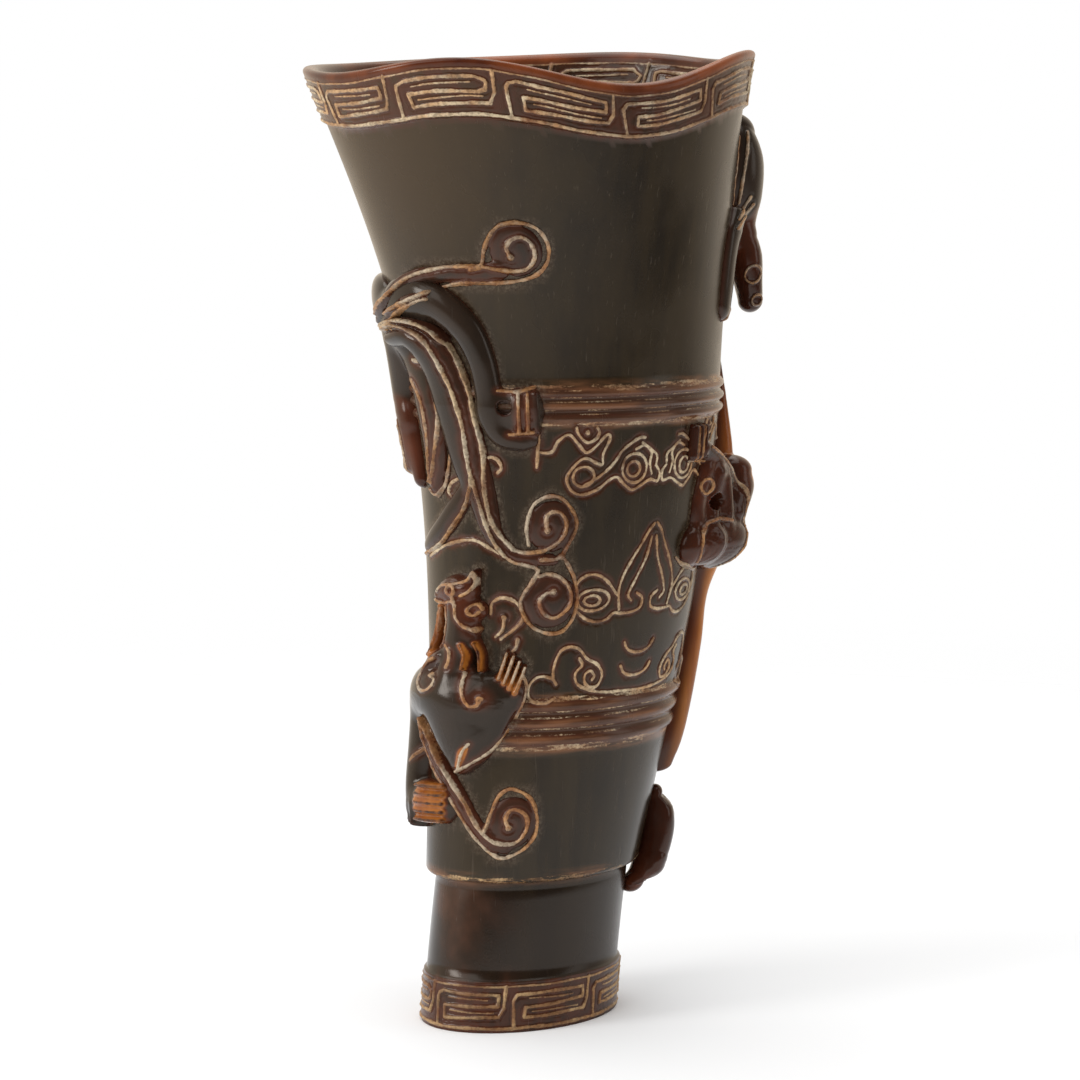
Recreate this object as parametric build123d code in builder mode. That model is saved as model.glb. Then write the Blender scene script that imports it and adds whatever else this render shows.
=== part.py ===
import os
from math import atan2, cos, degrees, hypot, pi, radians, sin

from build123d import *

# Driving dimensions, in millimetres and degrees.
# The cup stands on its foot at z = 0; the broad front faces -Y and the right end +X.
# A place on the wall is an angle around (0 right end, 180 left end, 270 front) and a height.

# Heights of the stretches, from the foot upward
FOOT_BAND_HEIGHT = 10.5
FOOT_HEIGHT = 20.5
BULGE_HEIGHT = 28.0
LOWER_RIBS_HEIGHT = 10.5
WAIST_HEIGHT = 56.0
UPPER_RIBS_HEIGHT = 7.7
NECK_HEIGHT = 65.1

# Half widths along X where the outline changes
FOOT_HALF_WIDTH = 22.4
BULGE_HALF_WIDTH = 24.8
LOWER_RIBS_HALF_WIDTH = 28.3
UPPER_RIBS_HALF_WIDTH = 35.3
MOUTH_HALF_WIDTH = 49.0
FLARE_POWER = 1.43

# The horn is flatter at the foot than at the mouth, and bows sideways along its height
FOOT_FLATNESS = 0.73
MOUTH_FLATNESS = 0.85
BOW = 12.0
BOW_SKEW = 1.2
BOW_POWER = 1.16
LEAN = 2.6

# Wall, raised bands and ribs
FOOT_WALL = 6.0
LIP_WALL = 2.4
STEP_ROUND = 1.2
BAND_PROUD = 0.6
RIM_BAND_HEIGHT = 11.5
RIB_COUNT = 3
RIB_PROUD = 0.9
RIB_GROOVE = 0.3

# The hand-cut waves of the mouth: lobes around, height of a crest, angle of a crest
MOUTH_WAVES = ((1, 2.8, 33.0), (2, 0.6, 6.0), (3, 1.0, -39.0), (4, 1.3, 36.5), (5, 0.6, 10.0))
WAVE_GRID = 13
WAVE_OVERHANG = 1.4

# Oval plug that closes the hollow foot from below
PLUG_THICKNESS = 5.0
PLUG_LEDGE = 2.4
PLUG_CLEARANCE = 0.1

# Rounding of the figures' limb ends: distance past the end and size, in limb radii
LIMB_ENDS = ((0.55, 0.83), (0.9, 0.42))

# Scrolls that end the tails and the plume: radii of the ribbon's middle line, and its sizes
SCROLL_RADIUS = 3.9
SCROLL_EYE = 0.9
SCROLL_SWEEP = 345.0
SCROLL_TIGHTENING = 1.9
SCROLL_STEPS = 11
SCROLL_HALF_BREADTH = 1.6
SCROLL_END_HALF_BREADTH = 0.7
RIBBON_PROUD = 1.6

# Toes of the paws
TOE_COUNT = 3
TOE_HALF_BREADTH = 0.9

# Heights that follow from the stretches
FOOT_TOP = FOOT_BAND_HEIGHT + FOOT_HEIGHT
BULGE_TOP = FOOT_TOP + BULGE_HEIGHT
WAIST_BOTTOM = BULGE_TOP + LOWER_RIBS_HEIGHT
WAIST_TOP = WAIST_BOTTOM + WAIST_HEIGHT
NECK_BOTTOM = WAIST_TOP + UPPER_RIBS_HEIGHT
MOUTH_HEIGHT = NECK_BOTTOM + NECK_HEIGHT
LOWER_RIBS_MIDDLE = BULGE_TOP + LOWER_RIBS_HEIGHT / 2
UPPER_RIBS_MIDDLE = WAIST_TOP + UPPER_RIBS_HEIGHT / 2
WAVE_REACH = sum(crest for _, crest, _ in MOUTH_WAVES)
ABOVE_MOUTH = MOUTH_HEIGHT + WAVE_REACH


def blend(low, high, share):
    """Value between two sizes."""
    return low + (high - low) * share


def half_width(z):
    """Half width of the outside along X."""
    if z <= FOOT_TOP:
        return FOOT_HALF_WIDTH
    if z <= LOWER_RIBS_MIDDLE:
        share = (z - FOOT_TOP) / (LOWER_RIBS_MIDDLE - FOOT_TOP)
        return blend(BULGE_HALF_WIDTH, LOWER_RIBS_HALF_WIDTH, share)
    if z <= UPPER_RIBS_MIDDLE:
        share = (z - LOWER_RIBS_MIDDLE) / (UPPER_RIBS_MIDDLE - LOWER_RIBS_MIDDLE)
        return blend(LOWER_RIBS_HALF_WIDTH, UPPER_RIBS_HALF_WIDTH, share)
    share = (z - UPPER_RIBS_MIDDLE) / (MOUTH_HEIGHT - UPPER_RIBS_MIDDLE)
    return blend(UPPER_RIBS_HALF_WIDTH, MOUTH_HALF_WIDTH, share**FLARE_POWER)


def half_depth(z):
    """Half depth of the outside along Y."""
    return half_width(z) * blend(FOOT_FLATNESS, MOUTH_FLATNESS, z / MOUTH_HEIGHT)


def centre_x(z):
    """Sideways place of the bowed horn's centre line."""
    share = min(max(z / MOUTH_HEIGHT, 0), 1)
    return BOW * sin(pi * share**BOW_SKEW) ** BOW_POWER + LEAN * share


def wall_thickness(z):
    """Thickness of the horn, thinning from the foot to the lip."""
    return blend(FOOT_WALL, LIP_WALL, min(z / MOUTH_HEIGHT, 1))


def mouth_height(x, y):
    """Height of the waved mouth; the waves grow from the axis to the outline."""
    across = (x - centre_x(MOUTH_HEIGHT)) / half_width(MOUTH_HEIGHT)
    deep = y / half_depth(MOUTH_HEIGHT)
    reach, angle = hypot(across, deep), atan2(deep, across)
    waves = (crest * reach**lobes * cos(lobes * (angle - radians(turn))) for lobes, crest, turn in MOUTH_WAVES)
    return MOUTH_HEIGHT + sum(waves)


def outward(around, height):
    """Level direction square to the wall."""
    angle = radians(around)
    return Vector(cos(angle) / half_width(height), sin(angle) / half_depth(height), 0).normalized()


def wall_point(around, height, lift=0):
    """Point on the outside of the cup, or lifted off it."""
    angle = radians(around)
    on_wall = Vector(centre_x(height) + half_width(height) * cos(angle), half_depth(height) * sin(angle), height)
    return on_wall + outward(around, height) * lift


def degrees_for(arc, around, height):
    """Angle around that an arc in millimetres takes up on the wall."""
    angle = radians(around)
    return degrees(arc / hypot(half_width(height) * sin(angle), half_depth(height) * cos(angle)))


def oval(z, grow=0.0):
    """Oval section of the cup at a height, larger or smaller than the outside."""
    with BuildSketch(Plane((centre_x(z), 0, z)), mode=Mode.PRIVATE) as section:
        Ellipse(half_width(z) + grow, half_depth(z) + grow)
    return section.sketch


def levels(low, high, count):
    """Evenly spaced heights, both ends included."""
    return [blend(low, high, step / (count - 1)) for step in range(count)]


def waved_face(drop=0.0):
    """Waved surface through the mouth, or a given drop below it."""
    width = WAVE_OVERHANG * half_width(MOUTH_HEIGHT)
    depth = WAVE_OVERHANG * half_depth(MOUTH_HEIGHT)
    columns = levels(centre_x(MOUTH_HEIGHT) - width, centre_x(MOUTH_HEIGHT) + width, WAVE_GRID)
    rows = levels(-depth, depth, WAVE_GRID)
    grid = [[Vector(x, y, mouth_height(x, y) - drop) for y in rows] for x in columns]
    return Face.make_surface_from_array_of_points(grid)


def limb(datum, *stations):
    """One tapering limb laid on the wall, of oval sections square to its run, with rounded ends.

    A station is an angle around, a height over the datum, a half breadth, how far it stands
    proud, and where needed a lift of its middle off the wall.
    """
    stations = [(around, datum + height, *sizes) for around, height, *sizes in stations]
    points = [wall_point(around, height, *sizes[2:]) for around, height, *sizes in stations]
    runs = [after - before for before, after in zip(points, points[1:])]
    tangents = [runs[0]] + [back + on for back, on in zip(runs, runs[1:])] + [runs[-1]]
    tangents = [tangent.normalized() for tangent in tangents]
    rings = []

    def ring(index, along=0.0, size=1.0):
        around, height, breadth, proud = stations[index][:4]
        run = tangents[index]
        middle = points[index] + run * (along * min(breadth, proud))
        across = run.cross(outward(around, height))
        with BuildSketch(Plane(middle, x_dir=across, z_dir=run), mode=Mode.PRIVATE) as section:
            Ellipse(breadth * size, proud * size)
        rings.append(section.sketch)

    for along, size in reversed(LIMB_ENDS):
        ring(0, -along, size)
    for index in range(len(stations)):
        ring(index)
    for along, size in LIMB_ENDS:
        ring(-1, along, size)
    loft(rings)


def scroll(datum, around, height, start, hand):
    """Stations of a ribbon that winds inward about a place on the wall, from its outer end."""
    stations = []
    for step in range(SCROLL_STEPS + 1):
        share = step / SCROLL_STEPS
        reach = blend(SCROLL_RADIUS, SCROLL_EYE, share**SCROLL_TIGHTENING)
        turn = radians(start + hand * SCROLL_SWEEP * share)
        beside = degrees_for(reach * cos(turn), around, datum + height)
        breadth = blend(SCROLL_HALF_BREADTH, SCROLL_END_HALF_BREADTH, share)
        stations.append((around + beside, height + reach * sin(turn), breadth, RIBBON_PROUD))
    return stations


def toes(datum, around, height, spacing, length, proud):
    """Toes of a paw, side by side around the wall and standing upright, from the first toe's foot."""
    for toe in range(TOE_COUNT):
        place = around + toe * spacing
        limb(datum, (place, height, TOE_HALF_BREADTH, proud), (place, height + length, TOE_HALF_BREADTH, proud))


# Outside of the cup as one filled form, which shapes the horn and seats the figures
with BuildPart() as filled_cup:
    loft([oval(z, BAND_PROUD) for z in (0, FOOT_BAND_HEIGHT)])
    loft([oval(z) for z in levels(FOOT_BAND_HEIGHT, FOOT_TOP, 3)])
    loft([oval(z) for z in levels(LOWER_RIBS_MIDDLE, UPPER_RIBS_MIDDLE, 4)])
    loft([oval(z) for z in levels(UPPER_RIBS_MIDDLE, ABOVE_MOUTH, 6)])
    for bottom, height in ((BULGE_TOP, LOWER_RIBS_HEIGHT), (WAIST_TOP, UPPER_RIBS_HEIGHT)):
        pitch = height / RIB_COUNT
        for rib in range(RIB_COUNT):
            low, middle, high = levels(bottom + rib * pitch, bottom + (rib + 1) * pitch, 3)
            loft([oval(low, -RIB_GROOVE), oval(middle, RIB_PROUD), oval(high, -RIB_GROOVE)])

# Bulge over the foot, with its lower edge rounded before it joins the rest
with BuildPart() as bulge:
    step_out = BULGE_HALF_WIDTH - FOOT_HALF_WIDTH
    loft([oval(FOOT_TOP, step_out)] + [oval(z) for z in levels(FOOT_TOP, LOWER_RIBS_MIDDLE, 3)[1:]])
    fillet(bulge.edges().group_by(Axis.Z)[0], STEP_ROUND)

# Raised band under the mouth, its lower border waved like the mouth itself
with BuildPart() as rim_band:
    loft([oval(z, BAND_PROUD) for z in levels(MOUTH_HEIGHT - RIM_BAND_HEIGHT - WAVE_REACH, ABOVE_MOUTH, 4)])
    extrude(waved_face(RIM_BAND_HEIGHT), amount=NECK_HEIGHT, dir=(0, 0, -1), mode=Mode.SUBTRACT)

with BuildPart() as whole_cup:
    add(filled_cup.part)
    add(bulge.part)
    add(rim_band.part)

# Hollow horn: the wall thins from the foot to the waved lip, and the foot is open below
with BuildPart() as horn_body:
    add(whole_cup.part)
    hollow_levels = levels(0, LOWER_RIBS_MIDDLE, 5) + levels(LOWER_RIBS_MIDDLE, UPPER_RIBS_MIDDLE, 4)[1:]
    hollow_levels += levels(UPPER_RIBS_MIDDLE, ABOVE_MOUTH, 5)[1:]
    loft([oval(z, -wall_thickness(z)) for z in hollow_levels], mode=Mode.SUBTRACT)
    extrude(waved_face(), amount=NECK_HEIGHT, dir=(0, 0, 1), mode=Mode.SUBTRACT)
    with BuildSketch(Plane.XY):
        add(oval(0, PLUG_LEDGE - FOOT_WALL))
    extrude(amount=PLUG_THICKNESS, mode=Mode.SUBTRACT)

# Plug let into the foot, against the ledge round the hollow
with BuildPart() as base_plug:
    with BuildSketch(Plane.XY):
        add(oval(0, PLUG_LEDGE - FOOT_WALL - PLUG_CLEARANCE))
    extrude(amount=PLUG_THICKNESS)

# Upper left dragon: trunk and head round the end, thigh and paw in front, far leg below
with BuildPart() as upper_left_dragon:
    limb(NECK_BOTTOM, (165, 10, 5.0, 3.6), (154, 13, 7.6, 3.8), (139, 15, 7.0, 3.9), (125, 16, 5.4, 4.4),
         (114, 18, 4.8, 4.4), (106, 23, 4.4, 4.2))
    limb(NECK_BOTTOM, (107, 22, 4.2, 4.2), (102, 28, 5.0, 5.0), (99, 33, 3.8, 4.0), (97, 36.5, 3.0, 3.0))
    limb(NECK_BOTTOM, (106, 32, 1.3, 4.4), (112, 26.5, 1.0, 4.0))
    limb(NECK_BOTTOM, (95, 31, 1.3, 3.8), (95, 24.5, 1.0, 2.8))
    limb(NECK_BOTTOM, (160, 13, 4.2, 3.4), (178, 16, 4.2, 3.4), (191, 15, 4.2, 4.0), (200, 9.5, 4.0, 4.4),
         (203, 2, 3.5, 4.0), (204, -4.5, 3.2, 3.4), (209, -9, 2.8, 2.8), (216, -9.5, 2.2, 2.0))
    limb(NECK_BOTTOM, (206, -4.5, 4.0, 2.6), (213, -4.8, 3.6, 2.4))
    toes(NECK_BOTTOM, 214, -8, 3.6, 6.4, 2.6)
    limb(NECK_BOTTOM, (157, 8, 4.0, 3.8), (153, -2, 4.2, 3.6), (156, -12, 3.4, 3.0), (160, -20, 2.0, 2.0))
    toes(NECK_BOTTOM, 149.5, -18, 3.4, 8.0, 2.8)
    add(whole_cup.part, mode=Mode.SUBTRACT)

# Its plume, a ribbon that sweeps forward into a scroll
with BuildPart() as upper_left_plume:
    limb(NECK_BOTTOM, (157, 13, 1.2, 4.3), (167, 16.5, 1.7, 3.8), (180, 21.5, 1.8, 2.6), (194, 23.7, 1.7, 1.8),
         (208, 24, 1.6, RIBBON_PROUD), *scroll(NECK_BOTTOM, 222, 28, -100, 1))
    add(whole_cup.part, mode=Mode.SUBTRACT)
    add(upper_left_dragon.part, mode=Mode.SUBTRACT)

# Its forked tail, a ribbon that parts into two scrolls
with BuildPart() as upper_left_tail:
    limb(NECK_BOTTOM, (163, 9, 2.2, 4.6), (174, 8.5, 3.4, 4.2), (183, 3, 4.2, 3.0), (188, -6, 4.4, 2.4),
         (192, -15, 3.8, 2.2), (197, -23, 3.0, 2.0), (204, -29.5, 2.4, 1.8), (214, -32.3, 1.9, RIBBON_PROUD),
         *scroll(NECK_BOTTOM, 229, -27.7, -100, 1))
    limb(NECK_BOTTOM, (203, -30, 2.0, 1.7), (214, -36, 1.9, RIBBON_PROUD),
         *scroll(NECK_BOTTOM, 229, -43.9, 100, -1))
    add(whole_cup.part, mode=Mode.SUBTRACT)
    add(upper_left_dragon.part, mode=Mode.SUBTRACT)
    add(upper_left_plume.part, mode=Mode.SUBTRACT)

# Lower left dragon: raised head, spread shoulders with a paw on each side, hind leg down the end
with BuildPart() as lower_left_dragon:
    limb(BULGE_TOP, (168, 32.5, 1.8, 2.6), (176, 30.5, 3.4, 4.2), (180, 27, 4.4, 5.0), (177, 21, 3.8, 4.4),
         (178, 15, 4.6, 4.8))
    limb(BULGE_TOP, (183, 31, 1.6, 4.2), (189, 35, 1.1, 2.8))
    limb(BULGE_TOP, (150, 7, 5.8, 3.9), (165, 10, 6.6, 5.2), (181, 10.5, 7.0, 5.8), (196, 9.5, 6.6, 4.8),
         (207, 9.5, 5.0, 3.6))
    toes(BULGE_TOP, 206, 12.5, 4.2, 6.0, 2.6)
    toes(BULGE_TOP, 158, 11.5, 4.2, 5.4, 4.0)
    limb(BULGE_TOP, (184, 8, 8.4, 5.4), (190, 2.5, 6.4, 4.4), (192, -1.5, 3.4, 2.8))
    limb(BULGE_TOP, (152, 7, 5.0, 3.9), (151, -2, 4.6, 4.3), (151, -9, 4.0, 4.7), (153, -14, 3.8, 4.6))
    toes(BULGE_TOP, 149, -20, 5.0, 6.4, 4.2)
    add(whole_cup.part, mode=Mode.SUBTRACT)

# Its tail, crossing the hind leg and ending in a scroll
with BuildPart() as lower_left_tail:
    limb(BULGE_TOP, (161, 3, 1.4, 4.6), (165, -3.5, 1.9, 4.2), (178, -7.5, 1.9, 2.6), (189, -12, 1.8, 2.0),
         (198, -16.5, 1.7, 1.8), (208, -19.4, 1.6, RIBBON_PROUD), *scroll(BULGE_TOP, 223, -15.6, -100, 1))
    add(whole_cup.part, mode=Mode.SUBTRACT)
    add(lower_left_dragon.part, mode=Mode.SUBTRACT)

# Upper right dragon, head down: high rump under the mouth band, narrow loin, head off the wall
with BuildPart() as upper_right_dragon:
    limb(NECK_BOTTOM, (338, 50, 5.0, 5.2), (337, 44.5, 7.2, 7.8), (337, 38, 6.6, 8.2), (337, 33, 4.6, 7.2),
         (336, 28, 4.0, 6.0))
    limb(NECK_BOTTOM, (336, 30, 3.6, 3.6, 3.2), (336, 25, 4.0, 3.6, 5.2), (336, 19.5, 3.4, 3.0, 6.4),
         (336, 15.4, 2.6, 2.6, 7.4))
    limb(NECK_BOTTOM, (326, 34, 2.8, 3.0), (322, 26, 2.6, 2.4), (321, 20, 2.4, 2.2))
    toes(NECK_BOTTOM, 318, 14, 3.2, 5.0, 2.0)
    limb(NECK_BOTTOM, (347, 36, 2.8, 3.2), (352, 28, 2.6, 2.6), (354, 22, 2.4, 2.2))
    toes(NECK_BOTTOM, 351, 16, 3.2, 5.0, 2.0)
    add(whole_cup.part, mode=Mode.SUBTRACT)

# Lower right dragon: head and chest off the wall, a foreleg on each side, flat trunk down the end
with BuildPart() as lower_right_dragon:
    limb(WAIST_BOTTOM, (328, 43, 3.6, 5.0, 3.6), (327, 39.5, 4.2, 5.6, 3.8), (322, 35, 4.4, 5.6, 2.8))
    limb(WAIST_BOTTOM, (297, 29, 3.6, 2.8), (307, 29.5, 4.8, 6.0), (318, 29.2, 6.4, 9.0), (327, 28.8, 6.0, 9.2))
    limb(WAIST_BOTTOM, (297, 49.5, 2.0, 2.2), (305, 47, 2.4, 3.0), (315, 43, 3.0, 4.6), (323, 39, 3.4, 6.0))
    toes(WAIST_BOTTOM, 291.5, 49, 3.4, 4.6, 1.8)
    limb(WAIST_BOTTOM, (352, 49, 2.2, 2.4), (346, 45, 2.6, 3.4), (336, 41, 3.2, 5.6))
    toes(WAIST_BOTTOM, 350, 49, 3.4, 4.6, 1.8)
    limb(WAIST_BOTTOM, (331, 65, 1.6, 1.4), (332, 57, 2.4, 2.6), (331, 49, 2.8, 4.2), (328, 42, 3.0, 5.0))
    limb(WAIST_BOTTOM, (326, 27, 4.6, 5.4), (329, 17, 4.6, 3.4), (331, 6, 4.4, 4.3), (332, -6, 4.0, 4.8),
         (332, -14, 3.6, 4.6), (332, -18, 2.8, 3.6))
    add(whole_cup.part, mode=Mode.SUBTRACT)

# Its tail, a thick hook that leaves the bulge and curls back under the step
with BuildPart() as lower_right_tail:
    limb(FOOT_TOP, (332, 12.8, 2.2, 2.0, 0.6), (333, 10.2, 2.7, 2.6, 2.9), (334, 6, 2.8, 2.8, 4.1),
         (334, 1.5, 2.8, 2.8, 4.2), (334, -2.6, 2.6, 2.6, 5.6), (333, -5.6, 2.1, 2.2, 3.0))
    add(whole_cup.part, mode=Mode.SUBTRACT)

pieces = {
    "horn_body": horn_body,
    "base_plug": base_plug,
    "upper_left_dragon": upper_left_dragon,
    "upper_left_plume": upper_left_plume,
    "upper_left_tail": upper_left_tail,
    "lower_left_dragon": lower_left_dragon,
    "lower_left_tail": lower_left_tail,
    "upper_right_dragon": upper_right_dragon,
    "lower_right_dragon": lower_right_dragon,
    "lower_right_tail": lower_right_tail,
}

os.makedirs("parts", exist_ok=True)
for name, piece in pieces.items():
    piece.part.label = name
    export_step(piece.part, f"parts/{name}.step")
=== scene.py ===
import bpy
import numpy as np
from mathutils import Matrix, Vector


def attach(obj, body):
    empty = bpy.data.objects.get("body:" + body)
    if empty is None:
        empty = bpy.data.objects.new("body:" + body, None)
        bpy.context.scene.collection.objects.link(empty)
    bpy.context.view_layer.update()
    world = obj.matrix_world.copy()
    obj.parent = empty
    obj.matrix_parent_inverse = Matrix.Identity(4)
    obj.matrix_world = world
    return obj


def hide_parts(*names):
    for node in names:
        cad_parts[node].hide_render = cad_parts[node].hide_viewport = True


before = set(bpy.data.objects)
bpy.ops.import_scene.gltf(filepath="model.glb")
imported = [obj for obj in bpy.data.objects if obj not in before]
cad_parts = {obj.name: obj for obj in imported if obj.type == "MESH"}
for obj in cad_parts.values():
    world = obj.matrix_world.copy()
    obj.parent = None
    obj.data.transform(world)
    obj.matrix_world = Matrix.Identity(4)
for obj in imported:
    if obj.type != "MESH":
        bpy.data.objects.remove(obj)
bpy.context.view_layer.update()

MM = 0.001

# Heights of the cup in millimetres, foot to mouth
FOOT_BAND_HEIGHT = 10.5
FOOT_TOP = 31.0
BULGE_TOP = 59.0
WAIST_BOTTOM = 69.5
WAIST_TOP = 125.5
NECK_BOTTOM = 133.2
MOUTH_HEIGHT = 198.3
RIM_BAND_BOTTOM = 186.8
LOWER_RIBS_MIDDLE = (BULGE_TOP + WAIST_BOTTOM) / 2
UPPER_RIBS_MIDDLE = (WAIST_TOP + NECK_BOTTOM) / 2

# Half widths and other sizes of the oval, bowed horn
FOOT_HALF_WIDTH = 22.4
BULGE_HALF_WIDTH = 24.8
LOWER_RIBS_HALF_WIDTH = 28.3
UPPER_RIBS_HALF_WIDTH = 35.3
MOUTH_HALF_WIDTH = 49.0
FLARE_POWER = 1.43
FOOT_FLATNESS, MOUTH_FLATNESS = 0.73, 0.85
BOW, BOW_SKEW, BOW_POWER, LEAN = 12.0, 1.2, 1.16, 2.6
FOOT_WALL, LIP_WALL = 6.0, 2.4
STEP_ROUND = 1.2
BAND_PROUD = 0.6
RIB_BANDS = ((BULGE_TOP, WAIST_BOTTOM), (WAIST_TOP, NECK_BOTTOM))
RIB_COUNT, RIB_PROUD, RIB_GROOVE = 3, 0.9, 0.3
PLUG_THICKNESS, PLUG_LEDGE = 5.0, 2.4
# Waves of the mouth: lobes round the rim, crest in millimetres, angle of a crest
MOUTH_WAVES = ((1, 2.8, 33), (2, 0.6, 6), (3, 1.0, -39), (4, 1.3, 36.5), (5, 0.6, 10))
WAVES_START = 150.0

# Net of the horn's surface: columns round the cup, how often a large cell may be halved, rows of the
# bulge's rounded step, of the lip and of the lip's outer part, and height of a band's sloping edge
COLUMNS = 1152
HALVINGS = 3
STEP_ROWS, LIP_ROWS, OUTER_LIP_ROWS = 16, 24, 16
BAND_SLOPE = 0.5
# Least relief and least scrape that the net is refined for, and how far out the mouth's waves are followed
TRACE, HALO_TRACE = 0.01, 0.02
REACH_LIMIT = 1.05

# Samples of carved lines and limbs: their spacing, and the distance kept where none is near
LINE_STEP = 0.14
LIMB_STEP = 0.25
FAR = 9.0
# Reach of a thread's own colour, of the cut ground beside it, and of the scraped wall round a limb with
# the steepness of its fading
THREAD_EDGE = 1.25
GROUND_REACH = 4.0
HALO_BREADTH, HALO_STEEPNESS = 1.5, 3
# Unevenness of a hand-cut thread: share and pace of its swelling, size and pace of its slips around and up
HAND_SWELLS = ((0.13, 0.8), (0.09, 2.1))
HAND_SLIPS = ((0.14, 0.37), (0.06, 0.53))
# Section of a thread in half breadths: roundness of its crest, middle and half breadth of the cut along
# each side, and depth of the cut on the wall as a share of the crest
CREST_POWER = 1.5
CUT_MIDDLE, CUT_HALF = 1.5, 0.7
WALL_CUT = 0.35


def blend(low, high, share):
    """Value between two others."""
    return low + (high - low) * share


def ease(share):
    """Soft step from 0 to 1."""
    share = np.clip(share, 0, 1)
    return share * share * (3 - 2 * share)


def half_width(z, step=True):
    """Half width of the outside along X; without the step, the bulge is carried on down to the floor."""
    flare = np.clip((z - UPPER_RIBS_MIDDLE) / (MOUTH_HEIGHT - UPPER_RIBS_MIDDLE), 0, None)
    neck = blend(UPPER_RIBS_HALF_WIDTH, MOUTH_HALF_WIDTH, flare**FLARE_POWER)
    bulge_and_waist = np.interp(z, (FOOT_TOP, LOWER_RIBS_MIDDLE, UPPER_RIBS_MIDDLE),
                                (BULGE_HALF_WIDTH, LOWER_RIBS_HALF_WIDTH, UPPER_RIBS_HALF_WIDTH))
    low = FOOT_HALF_WIDTH if step else BULGE_HALF_WIDTH
    return np.where(z <= FOOT_TOP, low, np.where(z <= UPPER_RIBS_MIDDLE, bulge_and_waist, neck))


def half_depth(z, step=True):
    """Half depth of the outside along Y."""
    return half_width(z, step) * blend(FOOT_FLATNESS, MOUTH_FLATNESS, z / MOUTH_HEIGHT)


def centre_x(z):
    """Sideways place of the bowed horn's centre line."""
    share = np.clip(z / MOUTH_HEIGHT, 0, 1)
    return BOW * np.clip(np.sin(np.pi * share**BOW_SKEW), 0, 1) ** BOW_POWER + LEAN * share


def wall_thickness(z):
    """Thickness of the horn, thinning from the foot to the lip."""
    return blend(FOOT_WALL, LIP_WALL, np.clip(z / MOUTH_HEIGHT, 0, 1))


def arc_rate(angle, z):
    """Millimetres of wall for each radian around."""
    return np.hypot(half_width(z) * np.sin(angle), half_depth(z) * np.cos(angle))


def wall_point(angle, z, lift, step=True):
    """Points on the outside of the cup, or lifted off it square to the wall."""
    width, depth = half_width(z, step), half_depth(z, step)
    out_x, out_y = np.cos(angle) / width, np.sin(angle) / depth
    length = np.hypot(out_x, out_y)
    x = centre_x(z) + width * np.cos(angle) + lift * out_x / length
    y = depth * np.sin(angle) + lift * out_y / length
    return np.stack([x, y, z + np.zeros_like(x)], -1)


def mouth_wave(angle, reach):
    """Rise of the waved mouth at an angle, for a share of the mouth's half width."""
    return sum(crest * reach**lobes * np.cos(lobes * (angle - np.radians(turn)))
               for lobes, crest, turn in MOUTH_WAVES)


# Lines and limbs on the wall


def along(points, step, smooth=True):
    """Places a step apart on a line through a few points: angle around, height, then any sizes."""
    points = np.array(points, float)
    ends = np.vstack([2 * points[0] - points[1], points, 2 * points[-1] - points[-2]])
    runs = []
    for before, start, end, after in zip(ends, ends[1:], ends[2:], ends[3:]):
        arc = np.radians(end[0] - start[0]) * arc_rate(np.radians(start[0]), start[1])
        count = max(2, int(np.hypot(arc, end[1] - start[1]) / step) + 1)
        t = np.linspace(0, 1, count, endpoint=False)[:, None]
        bend = 2 * before - 5 * start + 4 * end - after
        twist = 3 * start - before - 3 * end + after
        curve = (2 * start + (end - before) * t + bend * t**2 + twist * t**3) / 2
        runs.append(curve if smooth else blend(start, end, t))
    return np.vstack(runs + [points[-1:]])


def lines(datum, half, proud, *strokes, smooth=True):
    """Samples of carved threads, cut by hand: angle, height, half breadth, how far they stand proud."""
    runs = []
    for stroke in strokes:
        run = along([(around, datum + height) for around, height in stroke], LINE_STEP, smooth)
        steps = np.arange(len(run)) * LINE_STEP + stroke[0][0] + 3 * stroke[0][1]
        hand = 1 + sum(share * np.sin(pace * steps) for share, pace in HAND_SWELLS)
        for column, (slip, pace) in enumerate(HAND_SLIPS):
            run[:, column] += slip * np.sin(pace * steps)
        runs.append(np.column_stack([run, half * hand, proud * hand]))
    return np.vstack(runs)


def balls(datum, radius, proud, *places):
    """Samples of the small round drops at the ends of threads."""
    return np.array([(around, datum + height, radius, proud) for around, height in places])


def stamp(angles, heights, samples, reach):
    """For each place of a patch, its distance to the nearest sample in half breadths, and that sample."""
    share = np.full((len(heights), len(angles)), FAR)
    which = np.zeros(share.shape, int)
    turns = np.radians(samples[:, 0])
    rates = arc_rate(turns, samples[:, 1])
    for index, (turn, rate, z, half) in enumerate(zip(turns, rates, samples[:, 1], samples[:, 2])):
        low, high = np.searchsorted(heights, (z - half * reach, z + half * reach))
        if low == high:
            continue
        for angle in (turn - 2 * np.pi, turn, turn + 2 * np.pi):
            left, right = np.searchsorted(angles, (angle - half * reach / rate, angle + half * reach / rate))
            if left == right:
                continue
            near = np.hypot((angles[left:right] - angle) * rate, heights[low:high, None] - z) / half
            window = (slice(low, high), slice(left, right))
            nearer = near < share[window]
            share[window][nearer] = near[nearer]
            which[window][nearer] = index
    return share, which


def thread_relief(share, proud, cut=WALL_CUT):
    """Height of a rounded thread with a shallow cut along both its sides."""
    crest = np.clip(1 - share**2, 0, 1) ** CREST_POWER
    sides = np.clip(1 - np.abs(share - CUT_MIDDLE) / CUT_HALF, 0, 1)
    return proud * (crest - cut * sides * sides)


def thread_mark(share):
    """Mark of a thread: 1 along its middle, and nought past its edge."""
    return np.clip(THREAD_EDGE - share, 0, 1)


# Carving on the wall

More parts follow.
